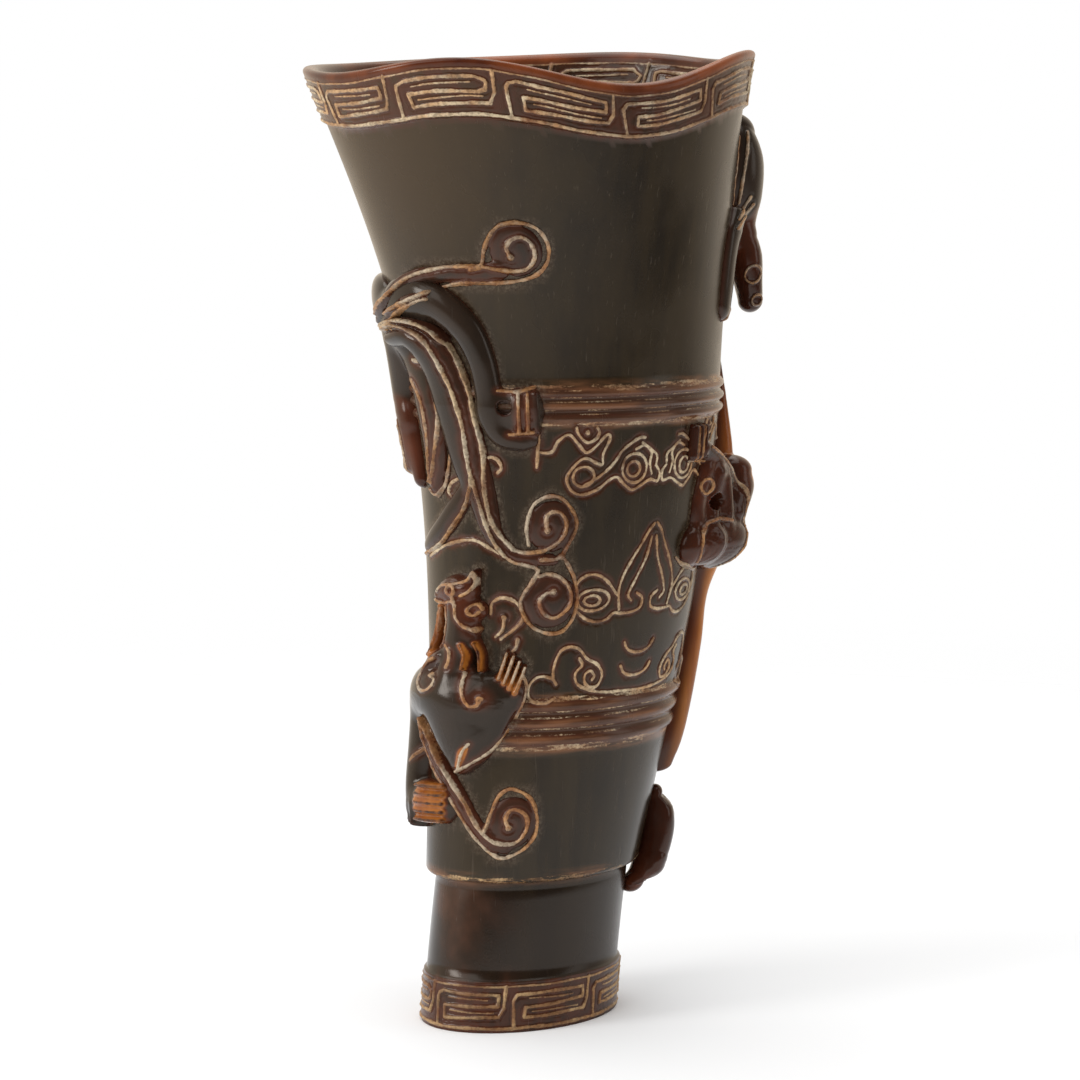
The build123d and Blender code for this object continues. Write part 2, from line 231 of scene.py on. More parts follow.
# One unit of the key fret as a single stroke, and stray scratches in it: shares along the unit and down it
FRET_STROKE = (
    (0.045, 1.0), (0.04, 0.32), (0.06, 0.22), (0.12, 0.19), (0.79, 0.17), (0.85, 0.22), (0.875, 0.33),
    (0.85, 0.44), (0.79, 0.48), (0.16, 0.5), (0.165, 0.76), (0.89, 0.74), (0.92, 0.5), (0.95, 0.0))
FRET_SCRATCHES = (((0.2, 0.32), (0.74, 0.31)), ((0.24, 0.63), (0.82, 0.61)))
# Frets of the mouth and the foot: units round, angle of the first, size of the thinner upper border
RIM_UNITS, RIM_START, RIM_TOP_SHARE = 12, 196, 0.5
FOOT_UNITS, FOOT_START, FOOT_TOP_SHARE = 7, 128, 0.6
FRET_MARGIN, RIM_TOP_MARGIN = 0.9, 1.0
FRET_HALF, FRET_PROUD, FRET_PROUD_INSIDE = 0.42, 0.36, 0.32
# Slips of the hand at a corner along a unit and down it, and size of the scratches beside the stroke's
SLIP_ALONG, SLIP_DOWN = 0.012, 0.025
SCRATCH_BREADTH, SCRATCH_HEIGHT = 0.45, 0.4

# Mask on the waist: angle of its nose line at the front, two lines of its smile, a drop over each brow
MASK_MIDDLE = 272.4
SMILE = ((8, 2.4), (6, 0.9), (2.4, 0.1), (-2.4, 0.1), (-6, 0.9), (-8, 2.4))
SMILE_HEIGHTS = (8.2, 3.4)
MASK_HALF, MASK_PROUD = 0.36, 0.34
MASK_DROP, DROP_RADIUS, DROP_PROUD = (30.6, 54.4), 0.65, 0.5
OVAL_POINTS = 13

# Redness of the raised bands between their frets, and heights between which the wall turns into the lip
BAND_REDNESS = 0.8
LIP_FADE = 2.0
LIP_FADE_START = MOUTH_HEIGHT - STEP_ROUND - 1.6


def fret(bottom, height, count, start, proud, hand, top_share):
    """Key fret round a band: one unbroken stroke a unit, stray scratches in it, between two border lines."""

    def place(unit, corner, x, y):
        """Place of a corner of a unit, a little off as a hand cuts it."""
        slip = SLIP_DOWN * np.sin(5 * unit + 4 * corner) if 0 < y < 1 else 0
        turn = unit + x + SLIP_ALONG * np.sin(7 * unit + 9 * corner)
        return start + hand * turn * 360 / count, bottom + (1 - y - slip) * height

    samples = []
    for unit in range(count):
        stroke = [place(unit, corner, x, y) for corner, (x, y) in enumerate(FRET_STROKE)]
        samples.append(lines(0, FRET_HALF, proud, stroke, smooth=False))
        for scratch in FRET_SCRATCHES:
            stroke = [place(unit, corner, x, y) for corner, (x, y) in enumerate(scratch)]
            half, low = FRET_HALF * SCRATCH_BREADTH, proud * SCRATCH_HEIGHT
            samples.append(lines(0, half, low, stroke, smooth=False))
    for border, share in ((bottom, 1), (bottom + height, top_share)):
        ring = [(turn, border) for turn in range(0, 361, 10)]
        samples.append(lines(0, FRET_HALF * share, proud * share, ring))
    return np.vstack(samples)


def oval(across, up, wide, tall):
    """Closed oval ring, by its middle and half sizes."""
    turns = np.linspace(0, 2 * np.pi, OVAL_POINTS)
    return [(across + wide * np.cos(turn), up + tall * np.sin(turn)) for turn in turns]


def beast_mask(middle):
    """Beast mask, one half turned over: degrees from the nose line, height over the waist's lower end."""
    strokes = (
        # cloud under the upper ribs, running into the brow
        ((49, 50.6), (44, 50.6), (41.4, 52.7), (37.3, 54), (34, 52.2), (31, 50.4), (27.5, 51.6),
         (23.6, 53.8), (22.4, 53), (24.8, 50), (25.2, 47.8), (31.5, 49.1), (36.5, 47), (38.4, 45),
         (36.6, 42.7), (32.4, 41.7), (26.7, 42.6), (22, 44.6), (19, 45.1), (16, 43.4), (12.7, 42.2),
         (9, 43.1), (5, 44.2), (1.2, 43.8), (0.6, 45.6), (2.6, 47)),
        oval(32, 45.4, 3.9, 2.1),
        ((31.5, 43.5), (26.3, 45.3), (22.5, 47), (19.7, 48.6), (16.9, 50.6), (10.8, 52.9), (8, 53)),
        ((11.9, 50.7), (8.2, 51.3), (5, 49.7), (5.4, 47.6), (4.3, 45.4)),
        oval(12, 46.8, 5.2, 3), oval(12.4, 46.6, 2.8, 1.6),
        ((2.6, 47.6), (2.6, 49.2), (5.4, 50.4), (9, 51.8)),
        ((34.5, 55.4), (33.8, 54), (31, 52.4), (27.9, 53), (26.4, 54.4), (27.2, 55.4)),
        # nose wedge of two lines, its nostril and the lower lid
        ((0.6, 35), (3, 33.6), (6.2, 30.6), (9.8, 27.6), (12.6, 24.8), (14.2, 21.8), (14, 20),
         (13, 17.6)),
        ((1.2, 32.2), (2.9, 28), (6.4, 24.4), (8.8, 21.8), (9.6, 20.3), (7.6, 19.2)),
        ((5.5, 20.8), (2.4, 19.6), (2.8, 17.6), (6.8, 16.8), (11.7, 16.8), (15.4, 17), (18, 15.9),
         (22.5, 15.3), (27.6, 16.1), (31.6, 17.9)),
        # eye
        ((14.4, 20.6), (16.6, 21.8), (19.7, 23.6), (23.8, 25), (28, 25.2), (31.6, 24), (33, 21.8),
         (32.6, 19)),
        oval(24.8, 19.9, 6.6, 2.2), oval(25.4, 19.8, 3.4, 1.1),
        # chin scrolls over the lower ribs
        ((37, 2.8), (39.2, 4.1), (44.4, 4.5), (48.2, 3), (49, 0.9), (46.6, -0.6), (41.4, -0.9), (37, 0)),
        ((38.6, 3.9), (38.6, 6.5), (36.5, 9.4), (32.8, 10.4), (28.3, 9.8), (24.8, 7.9), (19.6, 6.4),
         (16.6, 4.2), (18, 2.1), (21.5, 1.9), (24.4, 3.1), (24.4, 4.7), (22.3, 5.2), (20.4, 4.1),
         (21.2, 3.3)),
        ((27.8, 8), (26.4, 6.6), (29, 4.8), (27.6, 2.6), (22.2, 1.3), (16, 0.7), (8, 0.4), (0, 0.3)),
    )
    both = [[(middle + side * out, up) for out, up in stroke] for side in (-1, 1) for stroke in strokes]
    both += [[(middle - out, rise + lift) for out, lift in SMILE] for rise in SMILE_HEIGHTS]
    drops = [(middle + side * MASK_DROP[0], MASK_DROP[1]) for side in (1, -1)]
    return np.vstack([lines(WAIST_BOTTOM, MASK_HALF, MASK_PROUD, *both),
                      balls(WAIST_BOTTOM, DROP_RADIUS, DROP_PROUD, *drops)])


def wall_lines():
    """Loose threads on the wall beside the left figures."""
    return np.vstack([
        lines(BULGE_TOP, 0.42, 0.4,
              ((204, 27.7), (204.4, 30), (209.1, 31.2), (214.2, 30.6), (217.8, 28.8), (218.5, 26.5),
               (214.7, 24.6), (209.2, 22.7)),
              ((210.1, 27.1), (209.6, 24.6), (206.5, 23.1)),
              ((217, 22.6), (216, 20.6), (212, 19.2))),
        lines(NECK_BOTTOM, 0.42, 0.4,
              ((195.5, -19.5), (191.5, -19.4), (188.4, -19.1), (184.1, -20.2), (182.5, -21.9),
               (184, -22.8)),
              ((201.6, -15.3), (204, -14.4), (207.5, -14.8), (209, -16.4), (207.4, -17.4)),
              ((161.7, -36), (179.1, -33), (194.2, -31.4), (203.8, -33.2), (209.6, -34.4)),
              ((223.8, -1.8), (224.3, -5.6), (223.1, -16.2))),
        balls(BULGE_TOP, 0.7, 0.6, (210.1, 27.1)),
    ])


# Figures
# Limbs are rows of stations: angle around, height over the datum, half breadth, how far they stand proud,
# and sometimes a lift of their middle off the wall. Those under red and amber are of warmer, clearer horn.
# Threads are raised lines, and cords are paler ones. Side threads lie on the near side of a figure that
# stands far off the wall, by lift and height. A pit has its angle, height, radius and the lift of its floor.
# Soft is how far the limbs melt together, clear and dim are how clear the amber is at best and at its foot,
# and sunk is how much deeper than others the base goes into the wall.

# Half breadths of toes and of the bars of a combed foot, and how proud a bar's ends stand and how it rises
TOE_HALF, BAR_HALF = 0.9, 0.85
BAR_PROUD_LEFT, BAR_PROUD_RIGHT, BAR_RISE = 4.2, 3.2, 0.7


def toes(around, height, spacing, length, proud):
    """Three toes of a paw, side by side and upright."""
    places = [around + toe * spacing for toe in range(3)]
    return [((place, height, TOE_HALF, proud), (place, height + length, TOE_HALF, proud)) for place in places]


def combed_foot(left, right, height, spacing, count):
    """Foot of thin bars across, one under the other."""
    heights = [height - bar * spacing for bar in range(count)]
    return [((left, low, BAR_HALF, BAR_PROUD_LEFT), (right, low + BAR_RISE, BAR_HALF, BAR_PROUD_RIGHT))
            for low in heights]


UPPER_LEFT_DRAGON = dict(
    name="upper_left_dragon", datum=NECK_BOTTOM, soft=1.2,
    limbs=[
        # trunk round the end of the cup, with the head and its whiskers beyond
        ((165, 10, 5, 3.6), (154, 13, 7.6, 3.8), (139, 15, 7, 3.9), (125, 16, 5.4, 4.4),
         (114, 18, 4.8, 4.4), (106, 23, 4.4, 4.2)),
        ((107, 22, 4.2, 4.2), (102, 28, 5, 5), (99, 33, 3.8, 4), (97, 36.5, 3, 3)),
        ((106, 32, 1.3, 4.4), (112, 26.5, 1, 4)),
        ((95, 31, 1.3, 3.8), (95, 24.5, 1, 2.8)),
        # near leg and paw, far leg and paw, and the leaf between them
        ((160, 13, 5, 3.6), (176, 16.5, 5.6, 4), (190, 16.5, 4.4, 4), (200, 12, 3.6, 3.9),
         (204.5, 6, 3, 3.7), (206, -0.5, 2.8, 3.3), (206.4, -6, 2.7, 3), (210, -9.8, 2.4, 2.6),
         (216.4, -11, 2, 2.1), (221, -10.8, 1.6, 1.6)),
        ((209, -4.6, 4.4, 2.4), (219, -4.6, 4.2, 2.2)),
        ((157, 8, 4, 3.8), (153, -2, 4.2, 3.6), (155, -8, 3.6, 3.2)),
        ((168, 6, 4, 2.2), (174, 0, 4.6, 2.1), (176, -8, 4, 2), (176.5, -15, 3.2, 1.9),
         (175, -21, 1.8, 1.6)),
        *toes(217.2, -8.8, 3.1, 7.6, 2.7)],
    red=[((154.6, -7, 3.6, 3.2), (156, -12, 3.4, 3), (160, -20, 2, 2)), *toes(149.5, -18, 3.4, 8, 2.8)],
    threads=[lines(NECK_BOTTOM, 0.5, 0.5,
                   ((165.5, 11.7), (176, 8.5), (182.6, 6.3), (186, 3.9), (188.3, -2.9), (186.6, -10.6),
                    (184.4, -16.2), (180.7, -20.6), (175.5, -22.9), (172, -21.6)),
                   ((173.7, 5), (180.5, 3.8), (182.5, -1), (182.6, -7.2), (179.5, -13.6), (177, -17.9),
                    (174, -20)),
                   ((170, 1), (175, -3), (176.4, -9), (175, -15), (173, -19.5))),
             lines(NECK_BOTTOM, 0.4, 0.35,
                   ((210.4, -0.5), (217, -0.7), (223.8, 0.1)), ((213.6, -9.4), (221.9, -9)),
                   ((217.8, -1.1), (217.2, -9.2)), ((220.9, -1.1), (220.2, -8.9)),
                   ((151.2, -8.4), (151.4, -18.4)), ((154.8, -8), (155, -19.4))),
             balls(NECK_BOTTOM, 0.8, 0.5, (174, -20))],
    pits=[(212.4, -4, 1.4, 0.6)])

UPPER_LEFT_PLUME = dict(
    name="upper_left_plume", datum=NECK_BOTTOM, soft=0.5,
    # long ribbon, short strand under it, and the ground of the scroll
    limbs=[((157, 12.4, 1.3, 4.6), (167, 16.3, 1.9, 4.9), (180, 21, 2, 3.2), (194, 22.6, 1.8, 1.8),
            (208, 22.8, 1.8, 1.2), (216, 23.6, 2, 1.1)),
           ((163, 11.4, 1, 4.8), (172, 14.4, 1.5, 5.1), (181, 17.2, 1.6, 5), (190, 18.6, 1.2, 4.4)),
           ((222, 27.4, 5.2, 0.9), (222.4, 27.6, 5.2, 0.9))],
    threads=[lines(NECK_BOTTOM, 0.48, 0.6,
                   ((160, 14), (173.6, 18.8), (185.5, 22.4), (195.9, 24), (205.3, 24.3), (210.4, 24.7),
                    (212.2, 27.5), (215.1, 30.6), (219, 32.6), (225, 33), (230, 31.6), (232.4, 28.6),
                    (231.6, 25.4), (228, 22.8), (222.6, 21.5), (212.7, 21), (203.4, 20.8), (195.2, 20.2),
                    (186.6, 18), (167.5, 14.2)),
                   ((206.5, 23.6), (211.2, 24.2), (216.1, 23.7), (222, 23.3), (225.8, 24.2),
                    (227.8, 26.4), (227, 29), (224.4, 30.1), (221.3, 29.4), (219.7, 27.9), (220.4, 26.1)),
                   ((164.4, 11), (172, 13.2), (180, 15.6), (187, 17.2), (191, 17.6))),
             balls(NECK_BOTTOM, 0.8, 0.7, (220.4, 26.1))])

UPPER_LEFT_TAIL = dict(
    name="upper_left_tail", datum=NECK_BOTTOM, soft=0.6,
    # ribbon down to the fork, strand over the leg's root, fork, low leaf, and the grounds of two scrolls
    limbs=[((163, 9, 2.2, 4.6), (175, 9.6, 3.4, 4.2), (185, 5, 4.8, 3.2), (190.5, -4, 5, 2.5),
            (194.5, -14, 4.4, 2), (200, -22.5, 3.2, 1.6), (204.5, -29.5, 2.2, 1.4), (212, -34, 1.6, 1.2),
            (220, -35, 1.5, 1.1)),
           ((160, 11, 1.5, 4.6), (168, 12.4, 1.5, 4.9), (176, 13, 1.5, 4.8), (184, 12.2, 1.5, 4),
            (190.5, 9.8, 1.5, 3.2)),
           ((220, -35, 1.5, 1), (230, -35.2, 1.2, 0.9)),
           ((160, -34, 1.8, 0.8), (176, -29.8, 2.4, 1), (187, -25, 2.4, 1.1), (193.4, -20.8, 1.8, 1)),
           ((228.6, -28.4, 5.2, 0.9), (229, -28.2, 5.2, 0.9)),
           ((229, -43.6, 5.6, 0.9), (229.4, -43.6, 5.6, 0.9))],
    cords=[lines(NECK_BOTTOM, 0.54, 0.65,
                 ((162, 11.6), (171, 12.9), (181.6, 12.8), (189.6, 10.6), (195.2, 5.5), (198.5, -0.6),
                  (200.7, -7.5), (202.4, -13), (202.2, -18.9), (203, -23), (204.9, -27.1), (208.3, -30.1),
                  (213.7, -33)),
                 ((162, 10.8), (169.5, 12), (177, 11.3), (184.2, 9), (189, 4.5), (192.7, -0.7),
                  (195.2, -6.9), (196.2, -13.1), (197, -17.2), (199, -22), (201.2, -26), (203.4, -29),
                  (206.3, -32), (210, -34.4)))],
    threads=[lines(NECK_BOTTOM, 0.48, 0.6,
                   ((213.7, -33), (218.9, -33.6), (224.9, -33.4), (228.6, -32.6), (232.7, -30.6),
                    (234.3, -27.8), (232.5, -25.8), (229.4, -25.3), (226.8, -26.2), (226.6, -28),
                    (227, -29.1)),
                   ((210, -34.4), (214.3, -35.8), (221.4, -36.5), (224.2, -37.2)),
                   ((219.8, -32.3), (218.8, -28.9), (220.1, -25.7), (222.8, -23.4), (228.5, -22.1),
                    (233.3, -23), (237.3, -26), (238.3, -28.4), (237.1, -30.6), (233.8, -33.8),
                    (233, -34.5)),
                   ((225, -35.1), (230.4, -35.1), (233, -34.5), (236, -36.4), (239, -39.4),
                    (240.6, -43.4), (239.6, -47), (236, -49.7), (230.5, -50.4), (223.5, -49.1),
                    (218.8, -46.3), (217.3, -43.4), (221.6, -39.7), (224.2, -37.4)),
                   ((224.3, -38.6), (228.4, -38.1), (233, -38.8), (236.9, -40.9), (237.8, -44),
                    (234.9, -46.2), (230.9, -47.1), (226.9, -45.9), (225.2, -43.6), (227.4, -42.2),
                    (230.4, -41.7)),
                   ((158, -36), (176, -32.6), (188, -27.4), (195, -22), (197.4, -18.4))),
             balls(NECK_BOTTOM, 0.8, 0.7, (227, -29.1), (230.4, -41.7), (233, -34.5))])

LOWER_LEFT_DRAGON = dict(
    name="lower_left_dragon", datum=BULGE_TOP, soft=0.8, clear=0.82,
    limbs=[
        # neck
        ((190, 30, 3.4, 4.2), (191, 25, 3.6, 4.4), (189, 19, 4, 4.6), (186, 14, 4.6, 5)),
        # shoulders and breast
        ((150, 7, 5.8, 3.9), (165, 10, 6.2, 5), (183, 10.5, 7, 5.8), (200, 10, 6.4, 4.8),
         (213, 11, 4.4, 3.2)),
        ((188, 8, 8.4, 5.4), (193, 2, 6.2, 4.4), (193, -2.5, 3, 2.8)),
        ((206, 8, 5, 3.4), (200, 2, 4.6, 3.6), (193, -2.5, 3, 2.8)),
        # right arm and left arm
        ((205, 12, 3, 4), (210, 13.5, 2.2, 2.4)),
        ((182, 19, 1.6, 4.6), (175, 17, 1.8, 4.4), (170.5, 14, 1.8, 4.4)),
        # hind leg
        ((152, 7, 5, 3.9), (151, -2, 4.6, 4.3), (151, -9, 4, 4.7), (153, -14, 3.8, 4.6)),
        ((158, -12.5, 4.6, 4.2), (181, -12, 4, 2.4)),
        *toes(149, -17.4, 5, 4, 4.2)],
    red=[
        # head, ear, and the lobe behind the jaw
        ((180, 31, 2.6, 3.4), (187, 32.4, 3.2, 4.4), (193, 32.6, 2.6, 4)),
        ((194, 33.5, 1.3, 3.8), (197.8, 36.4, 0.8, 2.8)),
        ((198.3, 28.6, 2, 2.6), (198.7, 28.6, 2, 2.6))],
    amber=[
        # strand down the left arm, two on the breast, the spur, four claws, and the combed foot
        ((179.6, 29, 0.8, 2.8), (177, 24, 0.9, 2.6), (173.4, 18.5, 0.9, 3.6)),
        ((194, 21.5, 0.6, 4.8), (196, 19.4, 0.6, 5.2), (195.2, 16.8, 0.5, 5.6)),
        ((199, 21.8, 0.6, 3.8), (201.6, 19.8, 0.6, 4.2), (202.6, 16.6, 0.5, 4.8)),
        ((193.4, -3.6, 0.6, 3.2), (196, -0.8, 0.9, 4.1), (198.4, 0.6, 0.5, 4)),
        ((213, 20.1, 0.55, 2.4), (210.4, 15, 0.6, 3.4)), ((215.9, 19.5, 0.55, 2.4), (212.8, 14, 0.6, 3.4)),
        ((218.5, 18.4, 0.55, 2.3), (215.2, 13, 0.6, 3.2)), ((221, 17.2, 0.55, 2.2), (217.6, 12, 0.6, 3)),
        *combed_foot(164, 184, -9, 1.75, 5)],
    # threads of the head, neck and arms, of the claws and strands, and of the breast and hind leg
    threads=[lines(BULGE_TOP, 0.38, 0.45,
                   ((189.6, 31.4), (191, 29.4), (191.4, 27.3), (194, 25.7), (197.5, 24.7), (199, 24.6)),
                   ((200.5, 28.3), (198, 27.5), (195.7, 28.4), (196.8, 29.5), (199.7, 29.9), (201.6, 29)),
                   ((179.5, 32), (184, 33.5), (190.6, 34.1), (195.7, 34.9), (197.7, 36.4), (198.4, 34.5),
                    (196.8, 32.7), (193.2, 31.6)),
                   ((178, 30.2), (182.6, 29.7), (188.7, 30.3)),
                   oval(188.7, 32.6, 1.7, 0.95),
                   ((184, 29), (183.7, 26.3), (181.5, 23), (180.5, 20.5)),
                   ((186, 21.3), (189, 20), (189, 18.2), (187.8, 16.8)),
                   ((180.7, 18.5), (175.7, 17.2), (171.6, 15.2), (170, 13), (174.6, 11.5), (179.8, 12.1),
                    (182, 13.7), (179.7, 14.9)),
                   ((195.7, 16), (195.6, 13.7), (196.7, 11.3), (199.4, 9.4), (202.6, 9.4),
                    (203.6, 10.8))),
             lines(BULGE_TOP, 0.32, 0.25,
                   ((213, 20.1), (210.4, 15)), ((215.9, 19.5), (212.8, 14)), ((218.5, 18.4), (215.2, 13)),
                   ((221, 17.2), (217.6, 12)), ((199.6, 1.4), (196.6, -0.4), (193, -4.4)),
                   ((178.6, 28.8), (176, 23.8), (172.4, 18.5)), ((180.4, 28.6), (177.8, 23.6))),
             lines(BULGE_TOP, 0.36, 0.3,
                   ((220.7, 15.5), (222.6, 12.7), (220.5, 8.5), (216, 4.2), (209, -0.1), (198.8, -3.1),
                    (188.7, -5.3)),
                   ((171.4, 3.9), (165, -0.4), (155, -4.7)), ((175, 3), (172.7, -1.3), (175, -5.4))),
             balls(BULGE_TOP, 0.8, 0.6, (203.6, 10.8), (199, 24.6), (179.7, 14.9))])

LOWER_LEFT_TAIL = dict(
    name="lower_left_tail", datum=BULGE_TOP, soft=0.5,
    # ribbon over the hind leg, and the ground of its scroll
    limbs=[((166, 4.6, 0.7, 3.5), (171, -0.4, 1.3, 3), (180, -5.2, 1.8, 2.4), (190, -9.6, 1.8, 1.9),
            (198, -13.8, 1.8, 1.6), (206, -17.4, 1.7, 1.3), (214, -19.6, 1.6, 1.1), (220, -20.3, 1.5, 1)),
           ((221.6, -15.2, 5.4, 0.9), (222, -15.2, 5.4, 0.9))],
    threads=[lines(BULGE_TOP, 0.48, 0.55,
                   ((166.4, 5.2), (172.6, 0.6), (179.4, -3.4), (187.6, -6.9), (195.9, -10.8),
                    (202.5, -14.9), (208, -17.4), (215.3, -19.2), (224.8, -19.3), (229.2, -17),
                    (229.4, -14.4), (225.9, -12.7), (220.8, -12.5), (218.7, -14.4), (220.7, -16.1)),
                   ((165.8, 4.6), (169.4, -1), (175.6, -5.8), (181.8, -8.3), (192.3, -13), (200.4, -17.2),
                    (208, -20.2), (214, -21.8), (220.2, -22.5), (229.3, -20.8), (234.4, -17.5),
                    (233.5, -13.2), (229, -9.8), (220.4, -8.1), (214.6, -9.4), (211.2, -12.4),
                    (208.5, -16.6))),
             balls(BULGE_TOP, 0.8, 0.7, (220.7, -16.1))])

UPPER_RIGHT_DRAGON = dict(
    name="upper_right_dragon", datum=NECK_BOTTOM, soft=1.0, near_side=336,
    limbs=[
        # trunk with its high rump, near leg, and far leg with its paw
        ((338, 50, 5, 5.2), (337, 44.5, 7.2, 7.3), (337, 38, 6.6, 7.7), (337, 33, 4.6, 7),
         (336, 28, 4, 5.9)),
        ((322, 33, 2.8, 3), (315, 27, 3.6, 2.2), (313, 20, 3.6, 2), (312, 15, 3.2, 1.8)),
        ((347, 36, 2.8, 3.2), (352, 28, 2.6, 2.6), (354, 22, 2.4, 2.2)),
        *toes(351, 16, 3.2, 5, 2)],
    # loin, and the head hanging off the wall
    red=[((337, 33.5, 3, 6.6), (336, 29, 3, 6.2)),
         ((336, 29, 3.4, 3.6, 3.6), (336, 25, 4, 3.6, 5), (336, 19.5, 3.4, 3, 6.1),
          (336, 15.4, 2.6, 2.6, 6.9))],
    threads=[lines(NECK_BOTTOM, 0.45, 0.4,
                   ((321, 28), (320, 20), (316, 14), (312, 12)),
                   ((325, 50), (322.5, 43), (325, 36), (329, 31)),
                   ((349, 50), (351.5, 43), (349, 36), (344, 31)))],
    side_threads=[lines(NECK_BOTTOM, 0.4, 0.4,
                        ((2.2, 51), (2.2, 45), (2, 40), (1.6, 36)), ((4.3, 37.5), (3, 35.4), (1.7, 32.8)),
                        ((5.1, 35.8), (3, 33), (2, 31))),
                  lines(NECK_BOTTOM, 0.28, 0.3, oval(6.2, 21.1, 1.8, 1.8), oval(7.6, 15.6, 1.2, 1.2))])

LOWER_RIGHT_DRAGON = dict(
    name="lower_right_dragon", datum=WAIST_BOTTOM, soft=0.9, dim=0.74,
    limbs=[
        # near arm, far arm, and the flesh beside the drilled eye
        ((297, 49.5, 2, 2.2), (305, 47, 2.4, 3), (315, 43, 3, 4.6), (323, 39, 3.4, 6)),
        ((352, 49, 2.2, 2.4), (346, 45, 2.6, 3.4), (336, 41, 3.2, 5.6)),
        ((310, 42, 3.4, 5), (312, 36, 3.4, 6), (312, 31, 3.4, 6.4)),
        *toes(350, 49, 3.4, 4.6, 1.8)],
    red=[
        # ear, round rump, and the flesh before the drilled eye
        ((328, 43, 3.6, 5, 3.6), (327, 39.5, 4.2, 5.6, 3.8), (322, 35, 4.4, 5.6, 2.8)),
        ((297, 29, 4.4, 3.6), (304, 29.4, 5.2, 6.2)),
        ((307, 29.5, 4.8, 6), (318, 29.2, 6.4, 9), (327, 28.8, 6, 9.2)),
        ((301, 45, 2.6, 2.4), (298, 38, 2.4, 1.8), (300, 32, 3, 2.4)),
        ((305.6, 44, 2.8, 4.2), (305, 38, 3.2, 3.6), (305.4, 32, 3, 4.6)),
        *toes(288, 48, 3.4, 6, 1.9)],
    amber=[
        # sliver up the neck, and the flat trunk down the end of the cup
        ((333, 66, 0.6, 0.8), (334, 57, 1.6, 2.6), (333, 49, 2, 4.2), (330, 42, 2.4, 5)),
        ((329, 27, 2.8, 5.4), (332.5, 17, 2.6, 3.4), (334.5, 6, 2.6, 4.3), (335.5, -6, 2.6, 4.8),
         (335.5, -14, 2.4, 4.6), (335.5, -19.4, 1.8, 3.6))],
    threads=[lines(WAIST_BOTTOM, 0.42, 0.4,
                   ((286.7, 27.1), (293.5, 24.9), (305, 23.6)),
                   # edge of the near arm, and the rump's outline and fold
                   ((298, 49.8), (305, 48), (312, 45.6), (318.4, 42), (320.4, 38), (319.4, 34.4),
                    (321, 32)),
                   ((296.6, 25.6), (294.6, 29.2), (297.4, 32.8), (304, 34.4), (311, 33.8)),
                   ((321, 33), (319.8, 29.6), (317, 25.6), (314, 23.6))),
             lines(WAIST_BOTTOM, 0.32, 0.3,
                   oval(298.2, 41.4, 2.8, 1.6),
                   ((289.8, 47.4), (289.8, 54.4)), ((293.2, 47.4), (293.2, 54.4)), ((287, 47), (297, 46.8)))],
    pits=[(304, 38, 1.8, 0.2)])

LOWER_RIGHT_TAIL = dict(
    name="lower_right_tail", datum=FOOT_TOP, soft=0.8, sunk=1.6,
    # shaft that leaves the bulge, and the hook back under its step
    red=[((332, 12.8, 2.2, 2, 0.6), (333, 10.2, 2.8, 3.2, 2.3), (334, 6, 3, 3.6, 3.3),
          (334, 1.5, 3, 3.6, 3.4), (334, -2, 3, 3.5, 2.9)),
         ((334, -1.2, 3, 3.5, 3), (333.4, -3.4, 3, 3.4, 2), (332.6, -4.6, 2.9, 3.1, 0.7),
          (332, -5.2, 2.6, 2.8, -0.6))])

FIGURES = (UPPER_LEFT_DRAGON, UPPER_LEFT_PLUME, UPPER_LEFT_TAIL, LOWER_LEFT_DRAGON, LOWER_LEFT_TAIL,
           UPPER_RIGHT_DRAGON, LOWER_RIGHT_DRAGON, LOWER_RIGHT_TAIL)


def limb_samples(figure, limb):
    """Places along a limb with its half breadth, how far it stands proud, and its lift."""
    stations = [(around, figure["datum"] + height, half, proud, *(lift or [0]))
                for around, height, half, proud, *lift in limb]
    return along(stations, LIMB_STEP)


def all_limbs(figure):
    """Samples of every limb of a figure, the red and then the clear amber ones last."""
    return [limb_samples(figure, limb) for hue in ("limbs", "red", "amber") for limb in figure.get(hue, [])]


# Mesh pieces


def add_piece(name, points, faces, marks, material, node, normals=None):
    """Smooth mesh piece in metres, with its marks kept at the points for the material."""
    mesh = bpy.data.meshes.new(name)
    mesh.from_pydata(points * MM, [], faces)
    mesh.update()
    mesh.shade_smooth()
    for label, values in marks.items():
        mesh.attributes.new(label, "FLOAT", "POINT").data.foreach_set("value", values.astype(np.float32))
    if normals is not None:
        mesh.normals_split_custom_set_from_vertices(normals)
    mesh.materials.append(material)
    piece = bpy.data.objects.new(name, mesh)
    bpy.context.scene.collection.objects.link(piece)
    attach(piece, "root")
    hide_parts(node)


def outline_run(count, start, end, side, fineness):
    """Rows of the horn's outline from one (height, growth) to another, the last row left out."""
    share = np.linspace(0, 1, count, endpoint=False)
    return np.column_stack([blend(start[0], end[0], share), blend(start[1], end[1], share),
                            np.full(count, side), np.full(count, fineness)])


